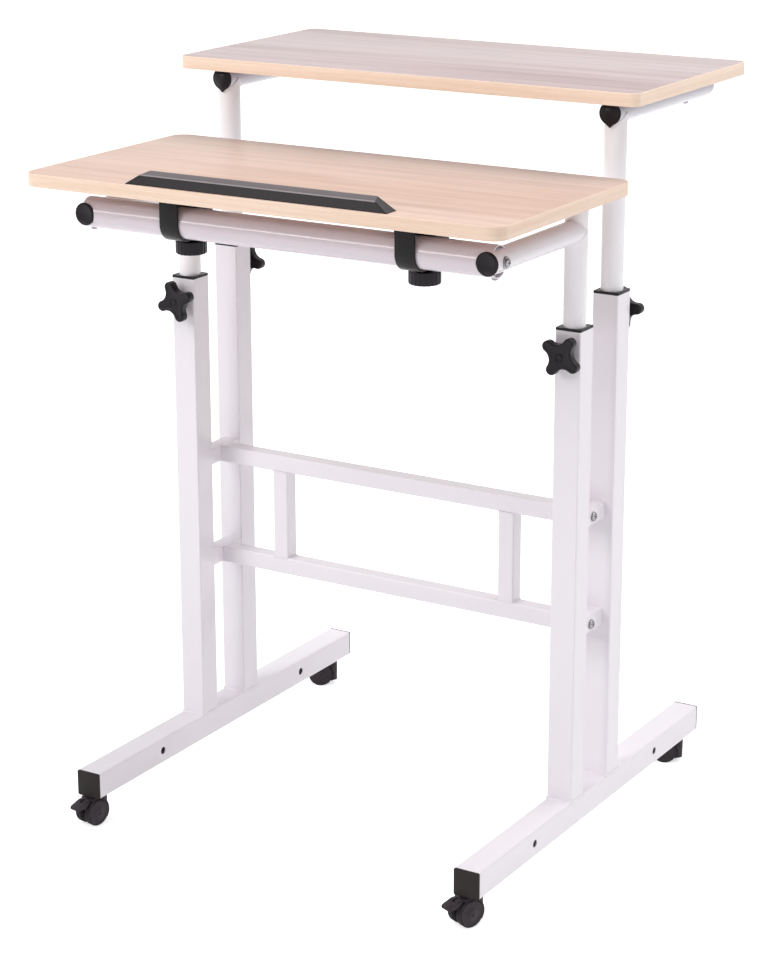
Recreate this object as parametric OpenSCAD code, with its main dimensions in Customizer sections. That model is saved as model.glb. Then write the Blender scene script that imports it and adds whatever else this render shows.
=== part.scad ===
// Two-tier height-adjustable desk on casters: a tilting worktop in front and a
// level shelf behind, each on a pair of round posts that slide in square uprights.
// Z is up, the user stands on the -Y side, and the origin is on the floor
// under the middle of the two tops.

/* [Tops] */
// Width of both tops
board_w = 650; // [600:5:900]
// Thickness of the boards
board_t = 16; // [15:1:25]
// Depth of the tilting worktop
lower_d = 324; // [300:2:420]
// Depth of the rear shelf
upper_d = 316; // [300:2:420]
// Gap between the worktop's back edge and the shelf's front edge
tops_gap = 2; // [2:0.5:10]
// Height of the worktop's surface
lower_z = 846; // [820:1:960]
// Height of the shelf's surface
upper_z = 946; // [900:1:1060]
// Corner radius of the worktop
lower_corner = 20; // [6:1:30]
// Corner radius of the shelf
upper_corner = 12; // [6:1:30]
// Thickness of the edge band round both boards
band_t = 1; // [0.5:0.1:2]

/* [Base frame] */
// Side of the square foot and upright tube
tube_side = 34; // [33:1:38]
// Wall of the square tube
tube_wall = 1.5; // [1:0.1:2]
// Outside corner radius of the square tube
tube_corner = 2; // [1.8:0.1:4]
// Distance across the frame between the uprights' centres
leg_span = 554; // [500:2:580]
// Distance from the front uprights' centres to the rear ones'
leg_gap = 97; // [84:1:120]
// Distance that the uprights stand behind the middle of the tops
frame_y = 0.5; // [-10:0.5:10]
// Length of each foot over its end caps
foot_len = 606; // [500:2:700]
// Distance that the feet's middles stand behind the middle of the tops
foot_y = 5; // [-10:0.5:10]
// Height of the front uprights' tops
front_top = 673; // [620:1:690]
// Height of the rear uprights' tops
rear_top = 698; // [640:1:720]
// Diameter of the cross holes in the feet
foot_hole_d = 10; // [5:0.5:12]
// Distance between the cross holes along a foot
foot_hole_span = 333; // [250:1:400]
// Distance that the cross holes sit behind the middle of the foot
foot_hole_shift = 3; // [-20:0.5:20]

/* [Cross frame] */
// Side of the rails, struts and spacers
rail_side = 22; // [20:1:26]
// Wall of the rails, struts and spacers
rail_wall = 1.2; // [1:0.1:2]
// Outside corner radius of the rails, struts and spacers
rail_corner = 2.2; // [2.1:0.1:3]
// Height of the upper rail's centre
upper_rail_z = 427.5; // [400:0.5:480]
// Height of the lower rail's centre
lower_rail_z = 287.5; // [240:0.5:340]
// Distance between the two struts' centres
strut_span = 336; // [200:2:400]
// Distance of the spacers' outer faces inside the uprights' outer faces
spacer_inset = 11; // [8:0.5:12]
// Thickness of the plates that close the rails' ends
rail_plate_t = 2.5; // [2:0.1:4]
// Diameter of the bolts that hold the cross frame
frame_bolt_d = 6; // [5:0.5:8]

/* [Posts and arms] */
// Diameter of the sliding posts and the arms
post_d = 28; // [24:0.1:28.4]
// Wall of the posts and the arms
post_wall = 1.5; // [1:0.1:2]
// Length of each post inside its upright
post_insert = 240; // [220:1:280]
// Radial clearance of a post in its collar
slide_gap = 0.1; // [0.05:0.05:0.3]
// Thickness of the collars' flanges
collar_flange_t = 3; // [2:0.5:5]
// Depth of the collars inside the uprights
collar_depth = 16; // [12:1:18]
// Distance from the tilt axis up to the worktop's underside
tilt_drop = 39.4; // [39:0.1:44]
// Distance from the worktop's front edge back to the tilt axis
tilt_setback = 76.6; // [60:0.1:90]
// Diameter of the cross tube that the worktop tilts on
cross_d = 38; // [36:0.5:40]
// Distance that the cross tube runs past the arms' centres
cross_ear = 5; // [2:0.5:8]
// Distance from the tilt axis forward to the front arms' ends
arm_nose = 17; // [16:0.5:24]
// Distance from the rear posts' axes forward to the shelf arms' ends
shelf_arm_nose = 15; // [14:0.5:24]
// Distance from the shelf's back edge to the shelf arms' back ends
shelf_arm_setback = 19; // [10:1:60]
// Distance from the shelf arms' back ends to their screws
shelf_screw_inset = 60; // [30:1:100]

/* [Edge stop] */
// Length of the stop's foot on the worktop
stop_len = 357; // [250:1:420]
// Length of the stop's top edge
stop_top_len = 309; // [200:1:340]
// Depth of the stop's foot
stop_d = 22; // [18:1:30]
// Height of the stop's back edge
stop_h = 15; // [12:0.5:20]
// Height of the ridge where the sloping face ends
stop_ridge_h = 11.5; // [8:0.5:11.5]
// Distance from the foot's front edge to the ridge
stop_ridge_y = 6; // [3:0.5:9]
// Distance from the worktop's front edge to the stop
stop_setback = 4; // [2:0.5:10]
// Distance that the stop sits to the right of the middle
stop_shift = 3; // [-5:0.5:5]

/* [Tilt clamps] */
// Distance between the two tilt clamps
clamp_span = 324; // [240:1:360]
// Distance that the pair of clamps sits to the right of the middle
clamp_shift = 11.5; // [-15:0.5:15]
// Width of the strap round the cross tube
strap_w = 26; // [20:1:30]
// Thickness of the strap
strap_t = 3; // [2:0.1:3.5]
// Clearance between the cross tube and what turns round it
tilt_gap = 0.3; // [0.2:0.05:0.5]
// Width of the moulded saddle behind the strap
saddle_w = 54; // [48:1:60]
// Depth of the moulded saddle
saddle_d = 46; // [44:1:52]
// Wall of the moulded saddle
saddle_wall = 2.4; // [2:0.1:3]
// Distance from the tilt axis back to the clamp knob's axis
clamp_knob_y = 23.6; // [23:0.1:25]
// Diameter of the clamp knob
clamp_knob_d = 38; // [30:0.5:40]
// Height of the clamp knob
clamp_knob_h = 16; // [10:0.5:18]
// Number of finger grooves round the clamp knob
clamp_knob_grooves = 20; // [12:1:28]
// Diameter of the clamp knob's stud
clamp_stud_d = 6; // [5:0.5:6]

/* [Star knobs] */
// Diameter over the star knob's lobes
star_d = 53.6; // [46:0.2:56]
// Diameter of each lobe
star_lobe_d = 13.6; // [12:0.2:15]
// Thickness of the star
star_t = 12; // [10:0.5:14]
// Radius of the waist between two lobes
star_waist = 14.8; // [13.8:0.1:15]
// Diameter of the star knobs' studs
stud_d = 8; // [6:0.5:8]
// Distance of the star knobs below the uprights' tops
star_drop = 27; // [24:0.5:40]

/* [Casters] */
// Height from the floor to the underside of the feet
caster_h = 40; // [40:0.5:44]
// Diameter of the caster wheels
wheel_d = 35; // [33:0.5:35]
// Width of each of a caster's two wheels
wheel_w = 9.9; // [8:0.1:12]
// Distance from a caster's swivel axis to its axle
caster_trail = 16; // [16:0.1:18]
// Distance of the casters' swivel axes from the ends of the feet
caster_inset = 25; // [20:1:60]
// Diameter of the caster stems
stem_d = 8; // [6:0.5:8]
// Thickness of the web between a caster's wheels
caster_web_t = 6; // [5:0.1:6]
// Distance from the axle to the tip of the brake lever
brake_reach = 31; // [26:0.5:32]
// Heading of the front left caster in degrees
heading_fl = -100; // [-180:1:180]
// Heading of the front right caster in degrees
heading_fr = -113; // [-180:1:180]
// Heading of the rear left caster in degrees
heading_rl = -147; // [-180:1:180]
// Heading of the rear right caster in degrees
heading_rr = -160; // [-180:1:180]

/* [Fits] */
// Clearance round a plug pushed into a tube or a screw in its hole
push_gap = 0.1; // [0.05:0.05:0.2]
// Radial clearance of a turning shaft in its bore
turn_gap = 0.1; // [0.05:0.01:0.1]
// Gap between two faces that pass or rest close to each other
face_gap = 0.3; // [0.2:0.05:0.5]
// Depth of the end plugs inside the tubes
plug_depth = 12; // [8:1:14]

/* [Hidden] */
$fn = 48;

// Amount by which a cutting shape runs past the face it cuts
past = 1;

// The two tops
tops_d = lower_d + tops_gap + upper_d;
front_edge = -tops_d / 2;
lower_back = front_edge + lower_d;
upper_front = lower_back + tops_gap;
lower_under = lower_z - board_t;
upper_under = upper_z - board_t;

// The frame
leg_x = leg_span / 2;
front_leg_y = frame_y - leg_gap / 2;
rear_leg_y = frame_y + leg_gap / 2;
foot_top = caster_h + tube_side;
foot_z = caster_h + tube_side / 2;
bore_side = tube_side - 2 * tube_wall;
cap_t = 2.5;
spacer_x = leg_x + tube_side / 2 - spacer_inset - rail_side / 2;
spacer_len = leg_gap - tube_side;
rail_bore = rail_side - 2 * rail_wall;

// Nuts, from the diameter that they take
function nut_across(d) = 1.6 * d;
function nut_h(d) = 0.8 * d;

// The bolts that enter the arms from outside, and the saddle washers under their heads
arm_bolt_d = 5;
washer_d = 14;
washer_t = 1.2;

// The posts and arms
post_r = post_d / 2;
post_bore_r = post_r - post_wall;
front_post_bottom = front_top - post_insert;
rear_post_bottom = rear_top - post_insert;
tilt_y = front_edge + tilt_setback;
tilt_z = lower_under - tilt_drop;
arm_front = tilt_y - arm_nose;
shelf_arm_z = upper_under - post_r;
shelf_arm_front = rear_leg_y - shelf_arm_nose;
shelf_arm_back = front_edge + tops_d - shelf_arm_setback;
shelf_screw_y = [shelf_arm_back - shelf_screw_inset];
shelf_arm_round = 6;
cap_flange_t = 2;
glide_h = 12;

// The clamps
strap_in = cross_d / 2 + tilt_gap;
strap_out = strap_in + strap_t;
flange_len = strap_out - face_gap;
lug_len = clamp_knob_y + strap_w / 2;
clamp_xs = [clamp_shift - clamp_span / 2, clamp_shift + clamp_span / 2];
saddle_low = 12;
screw_d = 4;
screw_bite = 11;

// The star knobs
star_lobe_r = star_lobe_d / 2;
star_a = star_d / 2 - star_lobe_r;
star_in = star_waist - star_lobe_r;
star_cut_at = (star_a * star_a - star_in * star_in) / (sqrt(2) * star_a - 2 * star_in);
star_cut_r = star_cut_at - star_waist;
star_in_clear = star_a - star_lobe_r - 0.4;
star_hub_h = 3;
star_turn_fl = 22;
star_turn_fr = 56;
star_turn_rl = -12;
star_turn_rr = 5;

// The casters
wheel_r = wheel_d / 2;
hood_in = wheel_r + 0.6;
hood_out = hood_in + 1.6;
wheel_in = caster_web_t / 2 + 0.6;
wheel_out = wheel_in + wheel_w;
caster_y = [foot_y - foot_len / 2 + caster_inset, foot_y + foot_len / 2 - caster_inset];
stem_low = wheel_r + 10.7;
stem_flange_t = 2;
boss_top = caster_h - stem_flange_t - face_gap;
pivot_x = 13;
pivot_z = hood_in - 4.1;
lever_half = 9;
lever_round = 4;
axle_r = 3;
pin_r = 1.2;

// Turns a shape built along +Z to run along +X or +Y
module along_x() rotate([0, 90, 0]) children();
module along_y() rotate([-90, 0, 0]) children();

// Places a side profile, drawn as depth and height, as a band centred on X
module side_profile(w) translate([-w / 2, 0, 0]) rotate([90, 0, 90]) linear_extrude(w) children();

// A rectangle with round corners, centred
module round_rect(w, d, r) {
    square([w, d - 2 * r], center = true);
    square([w - 2 * r, d], center = true);
    for (x = [-1, 1], y = [-1, 1])
        translate([x * (w / 2 - r), y * (d / 2 - r)]) circle(r);
}

module square_tube(side, wall, r, len) {
    linear_extrude(len) difference() {
        round_rect(side, side, r);
        round_rect(side - 2 * wall, side - 2 * wall, r - wall);
    }
}

module round_tube(r, wall, len) {
    difference() {
        cylinder(r = r, h = len);
        translate([0, 0, -past]) cylinder(r = r - wall, h = len + 2 * past);
    }
}

// A round tube whose far end is closed and rounded
module closed_tube(r, wall, len, round_r) {
    rotate_extrude() difference() {
        union() {
            square([r, len - round_r]);
            square([r - round_r, len]);
            translate([r - round_r, len - round_r]) circle(round_r);
        }
        translate([-past, -past]) square([r - wall + past, len - round_r + past]);
    }
}

module nut(d) {
    difference() {
        cylinder(d = nut_across(d) / cos(30), h = nut_h(d), $fn = 6);
        translate([0, 0, -past]) cylinder(r = d / 2 + turn_gap, h = nut_h(d) + 2 * past);
    }
}

// A pan-head screw with its head's seat at the origin and its shank along +Z
module screw(d, len) {
    cylinder(d = d, h = len);
    rotate([180, 0, 0]) rotate_extrude() polygon([[0, 0], [d, 0], [d, 0.3 * d], [0.7 * d, 0.6 * d], [0, 0.65 * d]]);
}

// The base

module foot_tube(s) {
    color("white") translate([s * leg_x, foot_y - foot_len / 2 + cap_t, foot_z]) difference() {
        along_y() square_tube(tube_side, tube_wall, tube_corner, foot_len - 2 * cap_t);
        for (e = [-1, 1]) {
            translate([-tube_side, foot_len / 2 - cap_t + foot_hole_shift + e * foot_hole_span / 2, 0])
                along_x() cylinder(d = foot_hole_d, h = 2 * tube_side);
            translate([0, foot_len / 2 - cap_t + e * (foot_len / 2 - caster_inset), -tube_side])
                cylinder(r = stem_d / 2 + push_gap, h = tube_side);
        }
    }
}

module foot_caps() {
    color("#2b2725") for (s = [-1, 1], e = [-1, 1])
        translate([s * leg_x, foot_y + e * foot_len / 2, foot_z]) rotate([0, 0, e * 90 - 90])
            rotate([-90, 0, 0]) foot_cap();
}

// One end cap: its face at the origin, its hollow plug along -Z
module foot_cap() {
    plug = bore_side - 2 * push_gap;
    plug_r = tube_corner - tube_wall;
    translate([0, 0, -cap_t]) linear_extrude(cap_t) round_rect(tube_side, tube_side, tube_corner);
    translate([0, 0, -cap_t - plug_depth]) difference() {
        linear_extrude(plug_depth) round_rect(plug, plug, plug_r);
        translate([0, 0, -past]) linear_extrude(plug_depth)
            square(plug - 2 * cap_t, center = true);
    }
}

module upright(s, y, top, out) {
    color("white") translate([s * leg_x, y, foot_top]) difference() {
        square_tube(tube_side, tube_wall, tube_corner, top - foot_top);
        translate([0, 0, top - star_drop - foot_top]) rotate([0, 0, out * 90])
            translate([tube_side / 4, 0, 0]) along_x() cylinder(r = stud_d / 2 + face_gap, h = tube_side);
    }
}

// Collars: a flange on the upright's top and a sleeve that guides the post
module upright_collars() {
    color("#222222") for (s = [-1, 1]) {
        translate([s * leg_x, front_leg_y, front_top]) collar();
        translate([s * leg_x, rear_leg_y, rear_top]) collar();
    }
}

module collar() {
    plug = bore_side - 2 * push_gap;
    difference() {
        union() {
            linear_extrude(collar_flange_t) round_rect(tube_side, tube_side, tube_corner);
            translate([0, 0, -collar_depth]) linear_extrude(collar_depth)
                round_rect(plug, plug, tube_corner - tube_wall);
        }
        translate([0, 0, -collar_depth - past])
            cylinder(r = post_r + slide_gap, h = collar_depth + collar_flange_t + 2 * past);
    }
}

module side_spacers() {
    color("white") for (s = [-1, 1], z = [upper_rail_z, lower_rail_z])
        translate([s * spacer_x, front_leg_y + tube_side / 2, z]) difference() {
            along_y() square_tube(rail_side, rail_wall, rail_corner, spacer_len);
            translate([-rail_side, spacer_len / 2, 0])
                along_x() cylinder(r = frame_bolt_d / 2 + push_gap, h = 2 * rail_side);
        }
}

// A rail, closed at both ends by plates that the frame bolts pass through
module rail(z) {
    half = spacer_x - rail_side / 2;
    color("white") translate([-half, frame_y, z]) difference() {
        union() {
            along_x() square_tube(rail_side, rail_wall, rail_corner, 2 * half);
            for (x = [0, 2 * half - rail_plate_t])
                translate([x, 0, 0]) along_x() linear_extrude(rail_plate_t)
                    round_rect(rail_side - rail_wall, rail_side - rail_wall, rail_corner - rail_wall / 2);
        }
        translate([-past, 0, 0]) along_x()
            cylinder(r = frame_bolt_d / 2 + push_gap, h = 2 * half + 2 * past);
    }
}

module strut(s) {
    low = lower_rail_z + rail_side / 2;
    color("white") translate([s * strut_span / 2, frame_y, low])
        square_tube(rail_side, rail_wall, rail_corner, upper_rail_z - lower_rail_z - rail_side);
}

module cross_frame_bolts() {
    head_x = spacer_x + rail_side / 2;
    len = rail_side + rail_plate_t + nut_h(frame_bolt_d);
    color("silver") for (s = [-1, 1], z = [upper_rail_z, lower_rail_z])
        translate([s * head_x, frame_y, z]) rotate([0, s * -90, 0]) screw(frame_bolt_d, len);
}

// Nuts welded on the uprights, inside the feet and inside the rails' ends
module weld_nuts() {
    plate_x = spacer_x - rail_side / 2 - rail_plate_t;
    color("silver") for (s = [-1, 1]) {
        translate([s * leg_x, front_leg_y - tube_side / 2, front_top - star_drop])
            rotate([90, 0, 0]) nut(stud_d);
        translate([s * leg_x, rear_leg_y + tube_side / 2, rear_top - star_drop])
            rotate([-90, 0, 0]) nut(stud_d);
        for (y = caster_y) translate([s * leg_x, y, caster_h + tube_wall]) nut(stem_d);
        for (z = [upper_rail_z, lower_rail_z])
            translate([s * plate_x, frame_y, z]) rotate([0, s * -90, 0]) nut(frame_bolt_d);
    }
}

module caster_stems() {
    color("silver") for (s = [-1, 1], y = caster_y) translate([s * leg_x, y, 0]) {
        translate([0, 0, stem_low]) cylinder(d = stem_d, h = caster_h + tube_wall + nut_h(stem_d) + 2 - stem_low);
        translate([0, 0, caster_h - stem_flange_t]) cylinder(d = 1.8 * stem_d, h = stem_flange_t);
    }
}

// The front carriage

module front_post(s) {
    color("white") translate([s * leg_x, front_leg_y, front_post_bottom])
        round_tube(post_r, post_wall, lower_under - cap_flange_t - face_gap - front_post_bottom);
}

// An arm: its back end is shaped to the post and its front end takes a cap
module front_arm(s) {
    color("white") difference() {
        translate([s * leg_x, arm_front, tilt_z]) along_y() rotate([0, 0, -90])
            round_tube(post_r, post_wall, front_leg_y - arm_front);
        translate([s * leg_x, front_leg_y, tilt_z - post_d]) cylinder(r = post_r + push_gap, h = 2 * post_d);
        translate([s * leg_x, tilt_y, tilt_z]) cross_tube_holes(s);
    }
}

// Holes for the side bolt and the ear screw, from the crossing of arm and cross tube
module cross_tube_holes(s) {
    rotate([0, s * 90, 0]) cylinder(r = arm_bolt_d / 2 + push_gap, h = post_d);
    translate([0, 0, -cross_d]) cylinder(r = screw_d / 2 + push_gap, h = cross_d);
}

module cross_tube() {
    half = leg_x + cross_ear;
    color("#f1edf2") difference() {
        translate([-half, tilt_y, tilt_z]) along_x() round_tube(cross_d / 2, post_wall, 2 * half);
        for (s = [-1, 1]) {
            translate([s * leg_x, tilt_y - cross_d, tilt_z]) along_y()
                cylinder(r = post_r + push_gap, h = 2 * cross_d);
            translate([s * leg_x, tilt_y, tilt_z]) cross_tube_holes(s);
        }
    }
}

module cross_tube_screws() {
    color("silver") for (s = [-1, 1]) {
        translate([s * leg_x, tilt_y, tilt_z]) rotate([0, s * 90, 0]) arm_bolt();
        translate([s * leg_x, tilt_y, tilt_z - cross_d / 2]) screw(screw_d, cross_d / 2 - post_r + 3 * post_wall);
    }
}

// A bolt that points at the arm's axis from +Z, with a washer shaped to the arm
module arm_bolt() {
    translate([0, 0, post_r + washer_t]) rotate([180, 0, 0]) screw(arm_bolt_d, post_r);
    difference() {
        cylinder(d = washer_d, h = post_r + washer_t);
        translate([0, -washer_d, 0]) along_y() cylinder(r = post_r + push_gap, h = 2 * washer_d);
    }
}

// Round end caps: a slightly domed face and a plug inside the arm
module arm_caps() {
    color("#1c1c1e") for (s = [-1, 1]) translate([s * leg_x, arm_front, tilt_z]) rotate([90, 0, 0]) {
        rotate_extrude() polygon([[0, 0], [post_r, 0], [post_r, 1.6], [post_r - 1.2, 2.8],
            [post_r - 3, 3.2], [post_r - 3.6, 2.9], [0, 2.9]]);
        translate([0, 0, -plug_depth]) cylinder(r = post_bore_r - push_gap, h = plug_depth);
    }
}

module front_post_plugs() {
    color("#1c1c1e") for (s = [-1, 1])
        translate([s * leg_x, front_leg_y, lower_under - cap_flange_t - face_gap]) {
            cylinder(r = post_r, h = cap_flange_t);
            translate([0, 0, -plug_depth]) cylinder(r = post_bore_r - push_gap, h = plug_depth);
        }
}

// Glides keep the posts' lower ends central in the square tubes
module glides(y, z) {
    color("#1c1c1e") for (s = [-1, 1]) translate([s * leg_x, y, z]) {
        translate([0, 0, -glide_h]) linear_extrude(glide_h)
            round_rect(bore_side - 2 * face_gap, bore_side - 2 * face_gap, tube_corner - tube_wall);
        cylinder(r = post_bore_r - push_gap, h = plug_depth);
    }
}

// The worktop

module board(d, y, z, r) {
    translate([0, y, z]) linear_extrude(board_t)
        round_rect(board_w - 2 * band_t, d - 2 * band_t, r - band_t);
}

module edge_band(d, y, z, r) {
    color("#f3d3ab") translate([0, y, z]) linear_extrude(board_t) difference() {
        round_rect(board_w, d, r);
        round_rect(board_w - 2 * band_t, d - 2 * band_t, r - band_t);
    }
}

module lower_board() {
    color("#ecd2b8") difference() {
        board(lower_d, front_edge + lower_d / 2, lower_under, lower_corner);
        for (x = clamp_xs) translate([x, tilt_y, lower_under]) clamp_screw_places()
            translate([0, 0, -past]) cylinder(r = screw_d / 2 + push_gap, h = screw_bite + 2 * past);
    }
}

// The stop: a sloping front face up to a ridge, a top, and steep ends
module edge_stop() {
    x_mid = stop_shift;
    color("#333035") translate([x_mid, front_edge + stop_setback, lower_z]) intersection() {
        side_profile(stop_len) polygon([[0, 0], [stop_ridge_y, stop_ridge_h],
            [stop_d - 2, stop_h], [stop_d, 0]]);
        translate([0, stop_d + past, 0]) rotate([90, 0, 0]) linear_extrude(stop_d + 2 * past)
            polygon([[-stop_len / 2, 0], [-stop_top_len / 2, stop_h],
                [stop_top_len / 2, stop_h], [stop_len / 2, 0]]);
    }
}

// Where a clamp's screws enter the board, from the tilt axis below the board
module clamp_screw_places() {
    for (s = [-1, 1]) {
        translate([s * strap_w / 4, -flange_len / 2, 0]) children();
        translate([s * (saddle_w / 2 - 6), clamp_knob_y, 0]) children();
    }
}

// Strap: from the board down the front of the tube, round below it, and back to the knob
module clamp_strap(x) {
    color("#19191b") translate([x, tilt_y, tilt_z]) difference() {
        side_profile(strap_w) {
            intersection() {
                difference() {
                    circle(strap_out);
                    circle(strap_in);
                }
                translate([-strap_out, -strap_out]) square(strap_out);
            }
            translate([-strap_out, 0]) square([strap_t, tilt_drop]);
            translate([-strap_out, tilt_drop - strap_t]) square([flange_len, strap_t]);
            translate([0, -strap_out]) square([lug_len, strap_t]);
        }
        translate([0, clamp_knob_y, -strap_out - past])
            cylinder(r = clamp_stud_d / 2 + face_gap, h = strap_t + 2 * past);
        translate([0, 0, tilt_drop - strap_t - past]) clamp_screw_places()
            cylinder(r = screw_d / 2 + push_gap, h = strap_t + 2 * past);
    }
}

// Saddle: a ribbed moulding under the board, with a quarter-round seat for the tube
module clamp_saddle(x) {
    pocket_w = (saddle_w - 4 * saddle_wall) / 4;
    color("#19191b") translate([x, tilt_y, tilt_z]) difference() {
        translate([-saddle_w / 2, 0, saddle_low]) cube([saddle_w, saddle_d, tilt_drop - saddle_low]);
        translate([-saddle_w, 0, 0]) along_x() cylinder(r = strap_in, h = 2 * saddle_w);
        translate([0, clamp_knob_y, 0]) cylinder(r = clamp_stud_d / 2 + turn_gap, h = tilt_drop - 5);
        for (s = [-1, 1]) {
            translate([s * (saddle_w / 2 - 6), clamp_knob_y, 0]) {
                cylinder(r = screw_d + 0.5, h = tilt_drop - 4);
                cylinder(r = screw_d / 2 + push_gap, h = tilt_drop + past);
            }
            translate([s * pocket_w / 2 - pocket_w / 2 + s * saddle_wall, clamp_knob_y + 8, 0])
                cube([pocket_w, saddle_d - clamp_knob_y - 8 - saddle_wall, tilt_drop - saddle_wall]);
            translate([s * (pocket_w * 1.5 + 2 * saddle_wall) - pocket_w / 2, clamp_knob_y + 8, 0])
                cube([pocket_w, saddle_d - clamp_knob_y - 8 - saddle_wall, tilt_drop - saddle_wall]);
        }
    }
}

module clamp_screws() {
    color("silver") for (x = clamp_xs, s = [-1, 1]) {
        translate([x + s * strap_w / 4, tilt_y - flange_len / 2, lower_under - strap_t])
            screw(screw_d, strap_t + screw_bite);
        translate([x + s * (saddle_w / 2 - 6), tilt_y + clamp_knob_y, lower_under - 4])
            screw(screw_d, 4 + screw_bite);
    }
}

// Knob below the strap: its stud passes behind the cross tube into the saddle
module clamp_knob(x) {
    hub_top = -strap_out - face_gap;
    top = hub_top - 3;
    r = clamp_knob_d / 2;
    color("#151517") translate([x, tilt_y + clamp_knob_y, tilt_z]) {
        difference() {
            rotate_extrude() polygon([[0, top], [r, top], [r, top - clamp_knob_h + 3],
                [r - 0.9, top - clamp_knob_h + 0.9], [r - 3, top - clamp_knob_h],
                [r - 6, top - clamp_knob_h], [r - 7, top - clamp_knob_h + 0.8], [0, top - clamp_knob_h + 0.8]]);
            for (i = [0:clamp_knob_grooves - 1]) rotate([0, 0, i * 360 / clamp_knob_grooves])
                translate([r + 0.5, 0, top - clamp_knob_h - past])
                    cylinder(r = 1.2, h = clamp_knob_h + 2 * past, $fn = 16);
        }
        translate([0, 0, top]) cylinder(r1 = 12, r2 = 9, h = hub_top - top);
        translate([0, 0, hub_top]) cylinder(d = clamp_stud_d, h = tilt_drop - 8 - hub_top);
    }
}

// The star knobs

// The star's outline: four lobes joined by hollow flanks
module star_outline() {
    difference() {
        circle(star_a);
        for (i = [0:3]) rotate(45 + 90 * i) translate([star_cut_at, 0]) circle(star_cut_r);
    }
    for (i = [0:3]) rotate(90 * i) translate([star_a, 0]) circle(star_lobe_r);
}

// A star knob with its moulded-in stud, its seat on the nut at the origin, facing +Z
module star_knob(turn) {
    stud_len = nut_h(stud_d) + face_gap + tube_side / 2 - post_r - face_gap;
    edge = 1.6;
    color("#1a1a1d") {
        translate([0, 0, -stud_len]) cylinder(d = stud_d, h = stud_len + star_hub_h + 4);
        cylinder(r1 = 8, r2 = 12, h = star_hub_h + 1);
        difference() {
            rotate([0, 0, turn]) translate([0, 0, star_hub_h]) {
                linear_extrude(star_t - edge) star_outline();
                for (i = [0:3]) rotate([0, 0, 90 * i]) translate([star_a, 0, star_t - edge])
                    cylinder(r1 = star_lobe_r, r2 = star_lobe_r - edge, h = edge);
                translate([0, 0, star_t - edge]) cylinder(r1 = star_in_clear, r2 = star_in_clear - edge, h = edge);
            }
            translate([0, 0, star_hub_h + star_t - 1]) cylinder(r = 5, h = 1 + past);
        }
    }
}

module front_star_knob(s, turn) {
    translate([s * leg_x, front_leg_y - tube_side / 2 - nut_h(stud_d) - face_gap, front_top - star_drop])
        rotate([90, 0, 0]) star_knob(turn);
}

module rear_star_knob(s, turn) {
    translate([s * leg_x, rear_leg_y + tube_side / 2 + nut_h(stud_d) + face_gap, rear_top - star_drop])
        rotate([90, 0, 180]) star_knob(180 - turn);
}

// The rear carriage

module rear_post(s) {
    color("white") difference() {
        translate([s * leg_x, rear_leg_y, rear_post_bottom])
            round_tube(post_r, post_wall, shelf_arm_z - rear_post_bottom);
        translate([s * leg_x, rear_leg_y - post_d, shelf_arm_z]) along_y()
            cylinder(r = post_r + push_gap, h = 2 * post_d);
    }
}

// A shelf arm: open in front, where its cap goes in, and closed and rounded behind
module shelf_arm(s) {
    color("white") difference() {
        translate([s * leg_x, shelf_arm_front, shelf_arm_z]) along_y()
            closed_tube(post_r, post_wall, shelf_arm_back - shelf_arm_front, shelf_arm_round);
        for (y = shelf_screw_y) translate([s * leg_x, y, shelf_arm_z - post_d])
            cylinder(r = screw_d / 2 + push_gap, h = 2 * post_d);
    }
}

// The outline of a shelf arm's cap: a round drawn down to a small point
module drop_outline(r) {
    circle(r);
    polygon([[-0.55 * r, -0.8 * r], [0, -1.24 * r], [0.55 * r, -0.8 * r]]);
}

module shelf_arm_caps() {
    color("#1c1c1e") for (s = [-1, 1]) translate([s * leg_x, shelf_arm_front, shelf_arm_z]) rotate([90, 0, 0]) {
        linear_extrude(2) drop_outline(post_r);
        translate([0, 0, 2]) intersection() {
            linear_extrude(5) drop_outline(post_r);
            translate([0, 0, -post_r * 1.5]) sphere(r = post_r * 1.5 + 3.5, $fn = 64);
        }
        translate([0, 0, -plug_depth]) cylinder(r = post_bore_r - push_gap, h = plug_depth);
    }
}

module upper_board() {
    color("#ead5c6") difference() {
        board(upper_d, upper_front + upper_d / 2, upper_under, upper_corner);
        for (s = [-1, 1], y = shelf_screw_y) translate([s * leg_x, y, upper_under - past])
            cylinder(r = screw_d / 2 + push_gap, h = screw_bite + 2 * past);
    }
}

module shelf_screws() {
    color("silver") for (s = [-1, 1], y = shelf_screw_y)
        translate([s * leg_x, y, shelf_arm_z - post_r]) screw(screw_d, post_d + screw_bite);
}

// The casters, each built with its swivel axis at the origin and its trail along +X

module place_caster(s, end, heading) translate([s * leg_x, caster_y[end], 0]) rotate([0, 0, heading]) children();

// The side outline of the caster's web: round over the wheels, with a lever ear
module caster_web_outline(braked) {
    difference() {
        union() {
            translate([caster_trail, wheel_r]) circle(hood_out);
            translate([-stem_d, wheel_r]) square([caster_trail + stem_d, boss_top - wheel_r]);
            if (braked) translate([caster_trail + pivot_x, wheel_r + pivot_z]) circle(2.4 * pin_r);
        }
        translate([-wheel_d, -wheel_d]) square([3 * wheel_d, wheel_d + wheel_r - 4]);
        if (braked) translate([caster_trail + pivot_x, wheel_r + pivot_z]) circle(pin_r + turn_gap);
        translate([caster_trail, wheel_r]) circle(axle_r + turn_gap);
        translate([caster_trail + 8, wheel_r - wheel_d]) square([wheel_d, wheel_d + pivot_z - 2.4 * pin_r]);
    }
}

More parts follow.
